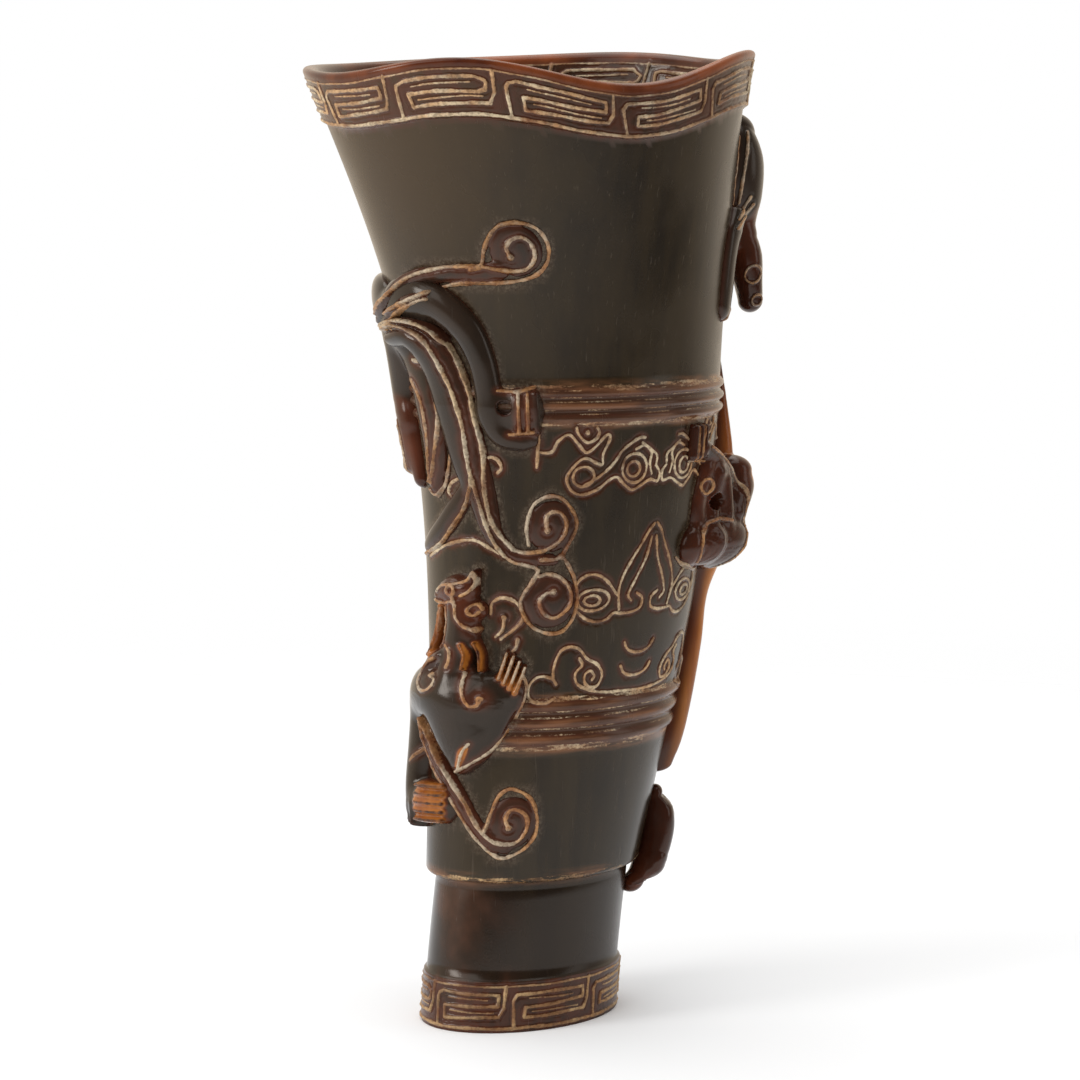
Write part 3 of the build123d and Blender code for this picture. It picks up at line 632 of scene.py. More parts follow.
def horn_outline():
    """Rows round the horn's section: height, growth over the outside, side, and least fineness.

    The rows of all stretches together make a number that the halvings of the net divide.
    """
    step_out = BULGE_HALF_WIDTH - FOOT_HALF_WIDTH
    above_step = FOOT_TOP + 1e-6
    lip_low = MOUTH_HEIGHT - STEP_ROUND
    lip_middle, lip_half = (BAND_PROUD - LIP_WALL) / 2, (BAND_PROUD + LIP_WALL) / 2
    turn = np.linspace(0, 1, STEP_ROWS, endpoint=False) * np.pi / 2
    step = np.column_stack([above_step + STEP_ROUND * (1 - np.cos(turn)), STEP_ROUND * (np.sin(turn) - 1),
                            np.ones(STEP_ROWS), np.full(STEP_ROWS, 2)])
    turn = np.linspace(0, 1, LIP_ROWS, endpoint=False) * np.pi
    lip = np.column_stack([lip_low + STEP_ROUND * np.sin(turn), lip_middle + lip_half * np.cos(turn),
                           np.zeros(LIP_ROWS), np.full(LIP_ROWS, 2)])
    rebate = PLUG_LEDGE - FOOT_WALL
    band = MOUTH_HEIGHT - RIM_BAND_BOTTOM
    inside = outline_run(208, (lip_low, -LIP_WALL), (PLUG_THICKNESS, 0), -1, 0)
    depth = np.concatenate([np.linspace(0, band, 48, endpoint=False),
                            np.linspace(band, lip_low - PLUG_THICKNESS, 160, endpoint=False)])
    inside[:, 0] = lip_low - depth
    inside[:, 1] = -wall_thickness(inside[:, 0])
    foot_edge, rim_edge = FOOT_BAND_HEIGHT + BAND_SLOPE, RIM_BAND_BOTTOM + BAND_SLOPE
    return np.vstack([
        outline_run(16, (0, rebate), (0, BAND_PROUD), 0, 0),
        outline_run(48, (0, BAND_PROUD), (FOOT_BAND_HEIGHT, BAND_PROUD), 1, 1),
        outline_run(8, (FOOT_BAND_HEIGHT, BAND_PROUD), (foot_edge, 0), 1, 2),
        outline_run(40, (foot_edge, 0), (FOOT_TOP, 0), 1, 0),
        outline_run(8, (above_step, -step_out), (above_step, -STEP_ROUND), 1, 2),
        step,
        outline_run(48, (FOOT_TOP + STEP_ROUND, 0), (BULGE_TOP, 0), 1, 0),
        outline_run(48, (BULGE_TOP, 0), (WAIST_BOTTOM, 0), 1, 2),
        outline_run(224, (WAIST_BOTTOM, 0), (WAIST_TOP, 0), 1, 0),
        outline_run(32, (WAIST_TOP, 0), (NECK_BOTTOM, 0), 1, 2),
        outline_run(104, (NECK_BOTTOM, 0), (RIM_BAND_BOTTOM, 0), 1, 0),
        outline_run(8, (RIM_BAND_BOTTOM, 0), (rim_edge, BAND_PROUD), 1, 2),
        outline_run(48, (rim_edge, BAND_PROUD), (lip_low, BAND_PROUD), 1, 1),
        lip, inside,
        outline_run(8, (PLUG_THICKNESS, -wall_thickness(PLUG_THICKNESS)), (PLUG_THICKNESS, rebate), 0, 1),
        outline_run(8, (PLUG_THICKNESS, rebate), (0, rebate), 0, 1)])


def rib_growth(z):
    """Growth of the wall over its bands of three rounded ribs."""
    growth = np.zeros_like(z)
    for bottom, top in RIB_BANDS:
        share = (z - bottom) / (top - bottom)
        across = 2 * np.mod(share * RIB_COUNT, 1) - 1
        rib = RIB_PROUD - (RIB_PROUD + RIB_GROOVE) * across**2
        growth = np.where((share > 0) & (share < 1), np.maximum(rib, 0), growth)
    return growth


def widen(cells):
    """Cells with their eight neighbours, on a net that closes on itself both ways."""
    wide = cells | np.roll(cells, 1, 0) | np.roll(cells, -1, 0)
    return wide | np.roll(wide, 1, 1) | np.roll(wide, -1, 1)


def quilt(fineness):
    """Faces of a closed net, small where the fineness is high, no cell beside one under half its size."""
    tall, wide = fineness.shape
    split = [None] * HALVINGS + [np.zeros((tall, wide), bool)]
    for level in range(HALVINGS - 1, -1, -1):
        size = 2 ** (HALVINGS - level)
        split[level] = fineness.reshape(tall // size, size, wide // size, size).max((1, 3)) > level
        if level < HALVINGS - 1:
            finer = widen(split[level + 1])
            split[level] |= finer.reshape(tall // size, 2, wide // size, 2).max((1, 3))
    faces, rows = [], []
    present = np.ones(split[0].shape, bool)
    for level, halved in enumerate(split):
        size = 2 ** (HALVINGS - level)
        row, column = np.nonzero(present & ~halved)
        shifts = ((1, 0), (-1, 1), (-1, 0), (1, 1))
        near = [np.roll(halved, shift, axis)[row, column] for shift, axis in shifts]
        middle = size // 2
        steps = ((0, 0), (0, middle), (0, size), (middle, size), (size, size), (size, middle), (size, 0),
                 (middle, 0))
        around = np.stack([(row * size + up) % tall * wide + (column * size + over) % wide
                           for up, over in steps], 1)
        kept = np.ones(around.shape, bool)
        for side in range(4):
            kept[:, 2 * side + 1] = near[side]
        plain = ~kept[:, 1::2].any(1)
        faces += around[plain][:, ::2].tolist()
        faces += [cell[keep].tolist() for cell, keep in zip(around[~plain], kept[~plain])]
        rows += (row[plain] * size).tolist() + (row[~plain] * size).tolist()
        present = np.repeat(np.repeat(halved, 2, 0), 2, 1)
    return faces, np.array(rows)


def carve_wall(row_z, row_side, angles):
    """Height of the carving over the net, and marks of its threads, cut ground and scraped halo."""
    outside, inside = np.nonzero(row_side == 1)[0], np.nonzero(row_side == -1)[0][::-1]
    low, high = RIM_BAND_BOTTOM + FRET_MARGIN, MOUTH_HEIGHT - STEP_ROUND - RIM_TOP_MARGIN
    rim = fret(low, high - low, RIM_UNITS, RIM_START, FRET_PROUD, 1, RIM_TOP_SHARE)
    rim_inside = fret(low, high - low, RIM_UNITS, RIM_START, FRET_PROUD_INSIDE, -1, RIM_TOP_SHARE)
    foot_height = FOOT_BAND_HEIGHT - 2 * FRET_MARGIN
    foot = fret(FRET_MARGIN, foot_height, FOOT_UNITS, FOOT_START, FRET_PROUD, 1, FOOT_TOP_SHARE)
    masks = [beast_mask(middle) for middle in (MASK_MIDDLE, 360 - MASK_MIDDLE)]
    relief, thread, ground, halo = np.zeros((4, len(row_z), len(angles)))
    for rows, samples in ((outside, np.vstack([rim, foot, wall_lines(), *masks])), (inside, rim_inside)):
        share, which = stamp(angles, row_z[rows], samples, GROUND_REACH)
        relief[rows] = thread_relief(share, samples[which, 3])
        thread[rows] = thread_mark(share)
        ground[rows] = ease((GROUND_REACH - share) / (GROUND_REACH - 1))
    for figure in FIGURES:
        for samples in all_limbs(figure):
            samples[:, 2] += HALO_BREADTH
            share, _ = stamp(angles, row_z[outside], samples, 1.0)
            halo[outside] = np.maximum(halo[outside], ease((1 - share) * HALO_STEEPNESS))
        for samples in figure.get("threads", []):
            share, _ = stamp(angles, row_z[outside], samples, GROUND_REACH)
            halo[outside] = np.maximum(halo[outside], ease((GROUND_REACH - share) / (GROUND_REACH - 1)))
    return relief, thread, ground, halo


def smooth_normals(points, faces):
    """Normals at the points of the whole horn, so that its pieces meet without a seam."""
    whole = bpy.data.meshes.new("whole")
    whole.from_pydata(points * MM, [], faces)
    normals = np.empty(len(points) * 3, np.float32)
    whole.vertex_normals.foreach_get("vector", normals)
    bpy.data.meshes.remove(whole)
    return normals.reshape(-1, 3)


def build_horn(material):
    """Hollow horn with its frets, mask and ribs cut in the surface, in pieces that share their edges."""
    outline = horn_outline()
    row_z, row_growth, row_side, row_fineness = outline.T
    row_growth = row_growth + np.where(row_side == 1, rib_growth(row_z), 0)
    angles = np.arange(COLUMNS) * 2 * np.pi / COLUMNS
    relief, thread, ground, halo = carve_wall(row_z, row_side, angles)

    # net, fine at threads and along the edge of the scrapes
    fineness = np.maximum(row_fineness[:, None], np.where(thread + np.abs(relief) > TRACE, HALVINGS, 0))
    fineness = np.maximum(fineness, np.where((halo > HALO_TRACE) & (halo < 1 - HALO_TRACE), 1, 0)).astype(int)
    faces, face_rows = quilt(fineness)
    used = np.unique(np.concatenate(faces))
    place = np.zeros(relief.size, int)
    place[used] = np.arange(len(used))
    faces = [place[face].tolist() for face in faces]

    # points of the net on the wall, the upper ones raised to the waved mouth
    row, column = used // COLUMNS, used % COLUMNS
    z, growth, angle = row_z[row], row_growth[row], angles[column]
    reach = np.clip((half_width(z) + growth) / MOUTH_HALF_WIDTH, 0, REACH_LIMIT)
    ramp = ease((z - WAVES_START) / (RIM_BAND_BOTTOM - WAVES_START))
    lift = growth + row_side[row] * relief[row, column]
    points = wall_point(angle, z + ramp * mouth_wave(angle, reach), lift)
    on_band = np.abs(growth - BAND_PROUD) < 1e-6
    marks = dict(thread=thread[row, column], ground=np.maximum(ground[row, column], on_band * BAND_REDNESS),
                 halo=halo[row, column], lip=ease((z - LIP_FADE_START) / LIP_FADE))

    # pieces, parted at the lower ribs, over the upper ribs and inside the lip
    normals = smooth_normals(points, faces)
    outer_rows = np.nonzero(row_side == 1)[0]
    foot_rows = int(np.searchsorted(row_z[:len(row_z) // 2], BULGE_TOP))
    waist_rows = int(outer_rows[row_z[outer_rows] >= NECK_BOTTOM][0])
    neck_rows = int(outer_rows[-1]) + 1 + OUTER_LIP_ROWS
    limits = (0, foot_rows, waist_rows, neck_rows, len(outline))
    names = ("horn_foot", "horn_waist", "horn_neck", "horn_inside")
    for name, low, high in zip(names, limits, limits[1:]):
        chosen = [face for face, at in zip(faces, face_rows) if low <= at < high]
        own, flat = np.unique(np.concatenate(chosen), return_inverse=True)
        ends = np.cumsum([len(face) for face in chosen])[:-1]
        own_faces = [part.tolist() for part in np.split(flat, ends)]
        own_marks = {label: values[own] for label, values in marks.items()}
        add_piece(name, points[own], own_faces, own_marks, material, "horn_body", normals[own])


# Figures as fields over the wall, skinned with quads

# Cell of the field, room round a figure, depth of its base in the wall, reach of a limb or pit in half
# breadths, and softness of a cord's join
VOXEL = 0.25
MARGIN = 2.5
SUNK = 0.6
LIMB_REACH = 2.0
CORD_SOFT = 0.2
# Threads on figures: how deep the cuts beside them are; in half breadths, their reach, the end and fading
# of their reddish cut ground, and the end of a pale cord; and how proud the side threads stand
THREAD_CUT = 0.25
THREAD_REACH = 6.0
CUT_EDGE, CUT_FADE = 4.2, 3.4
CORD_EDGE = 1.6
SIDE_PROUD = 0.4
# Warmth of reddish and of clear amber limbs, where it ends and fades in half breadths, the height over
# which a dim foot clears, and the lift that counts as full height
RED, AMBER = 0.5, 0.9
WARM_REACH, WARM_EDGE, WARM_FADE = 1.8, 1.6, 0.8
DIM_HEIGHT = 45
FULL_LIFT = 6
# Crests: rounds of smoothing that they are measured against, and the rise that counts as full, in cells
BEND_ROUNDS, BEND_FULL = 4, 1.6


def soft_min(first, second, soft):
    """Smaller of two fields, with a soft join."""
    share = np.clip(0.5 + (second - first) / (2 * soft), 0, 1)
    return blend(second, first, share) - soft * share * (1 - share)


def skin(field):
    """Points, in grid steps, and quads of the surface where a field turns from inside to outside."""
    inside = field < 0
    cells = tuple(size - 1 for size in field.shape)
    total, count = np.zeros(cells + (3,), np.float32), np.zeros(cells, np.int16)
    crossings = []
    for axis in range(3):
        low = [slice(None)] * 3
        high = [slice(None)] * 3
        low[axis], high[axis] = slice(None, -1), slice(1, None)
        here, there = field[tuple(low)], field[tuple(high)]
        cut = inside[tuple(low)] != inside[tuple(high)]
        where = np.argwhere(cut)
        share = (here[cut] / (here[cut] - there[cut])).astype(np.float32)
        point = where.astype(np.float32)
        point[:, axis] += share
        crossings.append((axis, where, inside[tuple(low)][cut]))
        others = [other for other in range(3) if other != axis]
        for back_1 in (0, 1):
            for back_2 in (0, 1):
                cell = where.copy()
                cell[:, others[0]] -= back_1
                cell[:, others[1]] -= back_2
                good = ((cell >= 0) & (cell < cells)).all(1)
                at = tuple(cell[good].T)
                np.add.at(total, at, point[good])
                np.add.at(count, at, 1)
    active = count > 0
    index = np.full(cells, -1)
    index[active] = np.arange(active.sum())
    points = total[active] / count[active][:, None]
    quads = []
    for axis, where, from_inside in crossings:
        one, two = (axis + 1) % 3, (axis + 2) % 3
        ring = []
        for back_1, back_2 in ((1, 1), (0, 1), (0, 0), (1, 0)):
            cell = where.copy()
            cell[:, one] -= back_1
            cell[:, two] -= back_2
            ring.append(index[tuple(np.clip(cell, 0, np.array(cells) - 1).T)])
        ring = np.stack(ring, 1)
        quads.append(np.where(from_inside[:, None], ring, ring[:, ::-1]))
    return points, np.vstack(quads)


def bend_mark(points, quads):
    """How far each point stands out over its neighbours: over a half on crests, under it in hollows."""
    pairs = np.vstack([quads[:, [0, 1]], quads[:, [1, 2]], quads[:, [2, 3]], quads[:, [3, 0]]])
    normals = np.zeros_like(points)
    across = np.cross(points[quads[:, 2]] - points[quads[:, 0]], points[quads[:, 3]] - points[quads[:, 1]])
    for corner in range(4):
        np.add.at(normals, quads[:, corner], across)
    normals /= np.linalg.norm(normals, axis=1, keepdims=True) + 1e-12
    number = np.bincount(pairs[:, 0], minlength=len(points))[:, None] + 1e-9

    def average(values):
        """Mean over the neighbours of each point."""
        sums = np.zeros_like(values)
        np.add.at(sums, pairs[:, 0], values[pairs[:, 1]])
        return sums / number

    wide = points
    for _ in range(BEND_ROUNDS):
        wide = average(wide)
    bend = ((points - wide) * normals).sum(1, keepdims=True)
    bend = average(average(bend))[:, 0]
    return np.clip(0.5 + bend / (BEND_FULL * VOXEL), 0, 1)


def between(grid, rows, columns):
    """Values of a grid at places between its points."""
    row, column = np.floor(rows).astype(int), np.floor(columns).astype(int)
    next_row, next_column = np.minimum(row + 1, grid.shape[0] - 1), np.minimum(column + 1, grid.shape[1] - 1)
    near = blend(grid[row, column], grid[row, next_column], columns - column)
    far = blend(grid[next_row, column], grid[next_row, next_column], columns - column)
    return blend(near, far, rows - row)


def limb_field(share, half, proud, lift, lifts):
    """Distance from the skin of an oval limb, under nought inside it."""
    across, up = np.maximum(share, 1e-3), (lifts - lift) / proud
    size = np.hypot(across, up)
    return size * (size - 1) / np.hypot(across / half, up / proud)


def side_share(figure, heights, lifts):
    """Distance, in half breadths, from the side threads of a figure that stands far off the wall."""
    share = np.full((len(heights), len(lifts)), FAR)
    for samples in figure.get("side_threads", []):
        up, out = heights[:, None, None] - samples[:, 1], lifts[:, None] - samples[:, 0]
        share = np.minimum(share, (np.hypot(up, out) / samples[:, 2]).min(2))
    return share


def carve_threads(field, figure, angles, heights, lifts):
    """Field with the figure's threads raised on it, and marks of the threads, cuts and pale cords."""
    crest, groove, pale = np.zeros((3,) + field.shape[:2])
    for key, paleness in (("threads", 0), ("cords", 1)):
        for samples in figure.get(key, []):
            share, which = stamp(angles, heights, samples, THREAD_REACH)
            half, proud = samples[which, 2], samples[which, 3]
            field -= thread_relief(share, proud, THREAD_CUT)[..., None].astype(np.float32)
            cord = limb_field(share[..., None], half[..., None], proud[..., None], 0, lifts)
            field = soft_min(field, cord.astype(np.float32), CORD_SOFT)
            crest = np.maximum(crest, thread_mark(share))
            groove = np.maximum(groove, ease((CUT_EDGE - share) / CUT_FADE))
            pale = np.maximum(pale, paleness * np.clip(CORD_EDGE - share, 0, 1))
    return field, crest, groove, pale


def warm_limbs(figure, angles, heights):
    """Mark of the limbs of reddish and of clear amber horn."""
    warmth = np.zeros((len(heights), len(angles)))
    dim = blend(figure.get("dim", 1), 1, ease((heights - heights[0]) / DIM_HEIGHT))[:, None]
    for hue, depth in (("red", RED), ("amber", figure.get("clear", AMBER) * dim)):
        for limb in figure.get(hue, []):
            share, _ = stamp(angles, heights, limb_samples(figure, limb), WARM_REACH)
            warmth = np.maximum(warmth, depth * ease((WARM_EDGE - share) / WARM_FADE))
    return warmth


def build_figure(figure, material):
    """Relief figure: its limbs joined softly, threads raised on it, pits drilled, base sunk in the wall."""
    runs = all_limbs(figure)
    every = np.vstack(runs)
    turns, low, high = np.radians(every[:, 0]), every[:, 1] - every[:, 2], every[:, 1] + every[:, 2]
    rate = arc_rate(turns, every[:, 1]).mean()
    reach = (every[:, 2] + MARGIN) / rate
    sunk = SUNK + figure.get("sunk", 0)
    angles = np.arange((turns - reach).min(), (turns + reach).max(), VOXEL / rate)
    heights = np.arange(low.min() - MARGIN, high.max() + MARGIN, VOXEL)
    lifts = np.arange(-sunk - VOXEL, (every[:, 3] + every[:, 4]).max() + MARGIN, VOXEL)

    # limbs and threads
    field = np.full((len(heights), len(angles), len(lifts)), FAR, np.float32)
    for run in runs:
        share, which = stamp(angles, heights, run, LIMB_REACH)
        row, column = np.nonzero(share < FAR)
        window = (slice(row.min(), row.max() + 1), slice(column.min(), column.max() + 1))
        share, sizes = share[window][..., None], run[which[window]][..., None]
        form = limb_field(share, sizes[..., 2, :], sizes[..., 3, :], sizes[..., 4, :], lifts)
        field[window] = soft_min(field[window], form, figure["soft"])
    field, crest, groove, pale = carve_threads(field, figure, angles, heights, lifts)
    share = side_share(figure, heights, lifts)
    near_side = angles < np.radians(figure.get("near_side", -360))
    field[:, near_side] -= thread_relief(share, SIDE_PROUD, THREAD_CUT)[:, None, :].astype(np.float32)
    side_crest = thread_mark(share)

    # drilled pits, and the base
    for around, height, radius, floor in figure.get("pits", []):
        hole = np.array([(around, figure["datum"] + height, radius)])
        share, _ = stamp(angles, heights, hole, LIMB_REACH)
        drill = np.maximum((share[..., None] - 1) * radius, floor - lifts)
        field = np.maximum(field, -drill.astype(np.float32))
    field = np.maximum(field, (-sunk - lifts).astype(np.float32))

    # skin of the field laid on the wall; the hook tail follows the bulge on down past its step
    grid, quads = skin(field)
    rows, columns, layers = grid.T
    lift = lifts[0] + layers * VOXEL
    points = wall_point(angles[0] + columns * VOXEL / rate, heights[0] + rows * VOXEL, lift,
                        figure["datum"] != FOOT_TOP)
    on_side = between(near_side[None, :] * np.ones((2, 1)), rows * 0, columns)
    thread = np.maximum(between(crest, rows, columns), on_side * between(side_crest, rows, layers))
    warmth = between(warm_limbs(figure, angles, heights), rows, columns)
    marks = dict(thread=thread, groove=between(groove, rows, columns), pale=between(pale, rows, columns),
                 warmth=warmth, bend=bend_mark(points, quads), height=np.clip(lift / FULL_LIFT, 0, 1))
    add_piece(figure["name"] + "_carved", points, quads.tolist(), marks, material, figure["name"])


# Finishes

VALUE, COLOUR = "NodeSocketFloat", "NodeSocketColor"
WHITE = (1.0, 1.0, 1.0, 1.0)

# Screen colours as hex codes: polished wall, its pale end with painted light, foot with a painted reddish
# sheen, ribs, scrapes round the figures, and lip
WALL_DARK, WALL_PALE, WALL_STREAK, WALL_SCRATCH, WALL_LIT_END = "19120a", "2b2114", "312615", "6e6152", "3d2d18"
FOOT_DARK, FOOT_SHEEN = "1c110c", "5a3422"
RIB_BAND, RIB_RUB = "4c2c1d", "86583a"
SCRAPED_DARK, SCRAPED_PALE = "432a1c", "938570"
LIP_DARK, LIP_CLEAR = "3d160a", "86421c"
# Cut ground and threads of the wall, and the browner threads of the foot
WALL_GROUND, WALL_THREAD, WALL_BLEACHED = "4c2516", "c9a276", "d9c7a6"
FOOT_THREAD, FOOT_BLEACHED = "a67d50", "b7986d"
THREAD_RUST, THREAD_SHADE = "7c4426", (0.6, 0.42, 0.3, 1)
# Figures: dark skin, its red by cuts, reddish and amber limbs, cut ground and threads
SKIN_DARK, SKIN_PALE, SKIN_RED = "211a14", "2e221a", "4e281a"
LIMB_RED_DARK, LIMB_RED_PALE = "33180f", "542817"
AMBER_LOW, AMBER_DARK, AMBER_PALE = "55260f", "8a491b", "b8722e"
FIGURE_GROUND, FIGURE_THREAD, CORD_THREAD, FIGURE_BLEACHED = "33150b", "bd8d5c", "cdb48f", "bcae97"

# Horn's refraction and the warm tint of its glints, and how light runs in clear horn
HORN_IOR, HORN_GLINT = 1.42, (1.0, 0.93, 0.85, 1)
CLEAR_HORN_RADIUS, CLEAR_HORN_SCALE = (1.0, 0.35, 0.12), 0.003

# Polish: how much clouds and scratches dull it, and strength of the fine bump
CLOUD_DULL, SCRATCH_DULL, BUMP_STRENGTH = 0.1, 0.1, 0.25

# Where tones of the wall start and are full, in metres: painted light on the pale left end of the neck, the
# foot darker towards the bottom, a painted reddish sheen on the foot's left, and browner threads of the foot
LIT_END_X, LIT_END_Z = (-0.012, -0.045), (0.13, 0.17)
FOOT_DARKER_Z, FOOT_SHEEN_X, FOOT_THREAD_Z = (0.033, 0.027), (-0.008, -0.024), (0.036, 0.031)
# Worn rings round the wall: height and half breadth
WORN_RINGS = ((FOOT_TOP + 0.6, 1.2), (BULGE_TOP + 0.2, 1.1), (WAIST_BOTTOM - 0.2, 0.9),
              (WAIST_TOP + 0.2, 0.9), (NECK_BOTTOM - 0.2, 1.1))


def colour(code):
    """Linear colour of a screen colour written as six hex digits."""
    parts = [int(code[place:place + 2], 16) / 255 for place in (0, 2, 4)]
    linear = [part / 12.92 if part <= 0.04045 else ((part + 0.055) / 1.055) ** 2.4 for part in parts]
    return (*linear, 1.0)


def add_node(tree, kind, **settings):
    """New node with its settings made."""
    node = tree.nodes.new(kind)
    for name, value in settings.items():
        setattr(node, name, value)
    return node


def feed(tree, socket, value):
    """Give a socket a number, a colour, a hex code, or what another socket puts out."""
    if isinstance(value, str):
        socket.default_value = colour(value)
    elif isinstance(value, (int, float, tuple)):
        socket.default_value = value
    else:
        tree.links.new(value, socket)


def object_place(tree):
    """Place on the piece, in metres."""
    return add_node(tree, "ShaderNodeTexCoord").outputs["Object"]


def axes_of(tree, place):
    """The place's own X, Y and Z."""
    split = add_node(tree, "ShaderNodeSeparateXYZ")
    feed(tree, split.inputs["Vector"], place)
    return split.outputs


def stretch(tree, place, scale, rotation=(0, 0, 0)):
    """Place scaled along its axes, so that a noise over it runs in streaks."""
    node = add_node(tree, "ShaderNodeMapping")
    node.inputs["Scale"].default_value = scale
    node.inputs["Rotation"].default_value = rotation
    feed(tree, node.inputs["Vector"], place)
    return node.outputs["Vector"]


def noise(tree, place, scale, detail=4.0, roughness=0.55):
    """Noise value over a place."""
    node = add_node(tree, "ShaderNodeTexNoise")
    for name, value in (("Vector", place), ("Scale", scale), ("Detail", detail), ("Roughness", roughness)):
        feed(tree, node.inputs[name], value)
    return node.outputs["Fac"]


def spread(tree, value, low, high, to_low=0.0, to_high=1.0):
    """Value spread from one range to another and held there."""
    node = add_node(tree, "ShaderNodeMapRange", interpolation_type="SMOOTHSTEP")
    names = ("Value", "From Min", "From Max", "To Min", "To Max")
    for name, given in zip(names, (value, low, high, to_low, to_high)):
        feed(tree, node.inputs[name], given)
    return node.outputs["Result"]


def arithmetic(tree, operation, first, second=0.0):
    """Sum, difference or other join of two values, each a socket or a number."""
    node = add_node(tree, "ShaderNodeMath", operation=operation)
    feed(tree, node.inputs[0], first)
    feed(tree, node.inputs[1], second)
    return node.outputs[0]


def times(tree, first, second):
    """Product of two values."""
    return arithmetic(tree, "MULTIPLY", first, second)


def greatest(tree, *values):
    """Largest of several values."""
    largest = values[0]
    for other in values[1:]:
        largest = arithmetic(tree, "MAXIMUM", largest, other)
    return largest


def mix_colour(tree, share, first, second, mode="MIX"):
    """Mix of two colours, each a socket, a colour or a hex code."""
    node = add_node(tree, "ShaderNodeMix", data_type="RGBA", blend_type=mode)
    for socket, value in ((node.inputs["Factor"], share), (node.inputs[6], first), (node.inputs[7], second)):
        feed(tree, socket, value)
    return node.outputs[2]


def mark(tree, name):
    """Value kept at the points of a piece."""
    return add_node(tree, "ShaderNodeAttribute", attribute_name=name).outputs["Fac"]


def make_group(name, inputs, outputs):
    """Empty node group with named sockets, each given with its kind."""
    group = bpy.data.node_groups.new(name, "ShaderNodeTree")
    for in_out, sockets in (("INPUT", inputs), ("OUTPUT", outputs)):
        for socket, kind in sockets.items():
            group.interface.new_socket(socket, in_out=in_out, socket_type=kind)
    return group, add_node(group, "NodeGroupInput").outputs, add_node(group, "NodeGroupOutput").inputs


def horn_growth_group():
    """Growth of horn: clouds of colour, streaks up the horn, fine scratches and pores."""
    outputs = dict(Cloud=VALUE, Streak=VALUE, Scratch=VALUE, Pore=VALUE)
    group, _, result = make_group("horn growth", {}, outputs)
    place = object_place(group)
    clouds = noise(group, place, 38)
    streaks = noise(group, stretch(group, place, (1, 1, 0.12)), 220, 3)
    scratches = noise(group, stretch(group, place, (1, 1, 0.06), (0.25, 0.15, 0)), 1500, 2)
    feed(group, result["Cloud"], spread(group, clouds, 0.36, 0.66))
    feed(group, result["Streak"], spread(group, streaks, 0.3, 0.7))
    feed(group, result["Scratch"], spread(group, scratches, 0.62, 0.78))
    feed(group, result["Pore"], noise(group, place, 2400, 2))
    return group


def carved_colour_group():
    """Colour of carved horn: polished skin, reddish cut ground, worn tan threads, broken along their run."""
    group, given, result = make_group(
        "carved colour",
        dict(Skin=COLOUR, Ground=COLOUR, Thread=COLOUR, Bleached=COLOUR, Cut=VALUE, Crest=VALUE),
        dict(Colour=COLOUR, Worn=VALUE))
    place = object_place(group)
    patchy = spread(group, noise(group, place, 300, 3), 0.3, 0.62, 0.35, 1)
    fine = spread(group, noise(group, place, 1300, 3), 0.35, 0.6, 0.5, 1)
    pale = spread(group, noise(group, place, 95, 4, 0.65), 0.44, 0.62, 0, 0.85)
    rusty = spread(group, noise(group, place, 120, 3), 0.52, 0.7, 0, 0.75)
    frayed = spread(group, noise(group, place, 1700, 4, 0.65), 0.3, 0.7, -0.14, 0.12)
    faded = spread(group, noise(group, place, 48, 4, 0.6), 0.36, 0.6, 0.45, 1)
    ground = mix_colour(group, times(group, given["Cut"], patchy), given["Skin"], given["Ground"])
    ragged = arithmetic(group, "ADD", given["Crest"], frayed)
    worn = times(group, spread(group, ragged, 0.3, 0.62), times(group, fine, faded))
    shade = mix_colour(group, patchy, THREAD_SHADE, WHITE)
    thread = mix_colour(group, 1.0, given["Thread"], shade, "MULTIPLY")
    rusted = mix_colour(group, rusty, thread, THREAD_RUST)
    bleached = mix_colour(group, pale, rusted, given["Bleached"])
    feed(group, result["Colour"], mix_colour(group, worn, ground, bleached))
    feed(group, result["Worn"], worn)
    return group


def ring_wear_group():
    """Wear round the cup by height: reddish bands of the ribs, broken pale rings, and rubbed patches."""
    group, _, result = make_group("ring wear", {}, dict(Band=VALUE, Ring=VALUE, Rub=VALUE))
    place = object_place(group)
    height = arithmetic(group, "DIVIDE", axes_of(group, place)["Z"], MM)

    def away(value, middle):
        """Distance of a value from a middle one."""
        return arithmetic(group, "ABSOLUTE", arithmetic(group, "SUBTRACT", value, middle))

    bands, rings, rubs = [], [], []
    for bottom, top in RIB_BANDS:
        half, pitch = (top - bottom) / 2, (top - bottom) / RIB_COUNT
        band = spread(group, away(height, bottom + half), half + 0.5, half - 0.4)
        ribs = arithmetic(group, "DIVIDE", arithmetic(group, "SUBTRACT", height, bottom), pitch)
        across = away(arithmetic(group, "FRACT", ribs), 0.5)
        shoulder = spread(group, away(across, 0.33), 0.1, 0.03)
        bands.append(band)
        rubs.append(times(group, spread(group, across, 0.36, 0.12), band))
        rings.append(times(group, times(group, shoulder, band), 0.9))
    for ring, half in WORN_RINGS:
        rings.append(spread(group, away(height, ring), half, half * 0.4))
        rubs.append(spread(group, away(height, ring), half * 2, half * 0.5))
    drawn = stretch(group, place, (1, 1, 7))
    broken = spread(group, noise(group, drawn, 150, 4, 0.7), 0.38, 0.56)
    patches = spread(group, noise(group, drawn, 45, 4, 0.6), 0.42, 0.66)
    feed(group, result["Band"], greatest(group, *bands))
    feed(group, result["Ring"], times(group, greatest(group, *rings), broken))
    feed(group, result["Rub"], times(group, greatest(group, *rubs), patches))
    return group


def start_material(name):
    """New material with its node tree and shader."""
    material = bpy.data.materials.new(name)
    material.use_nodes = True
    tree = material.node_tree
    return material, tree, tree.nodes["Principled BSDF"]


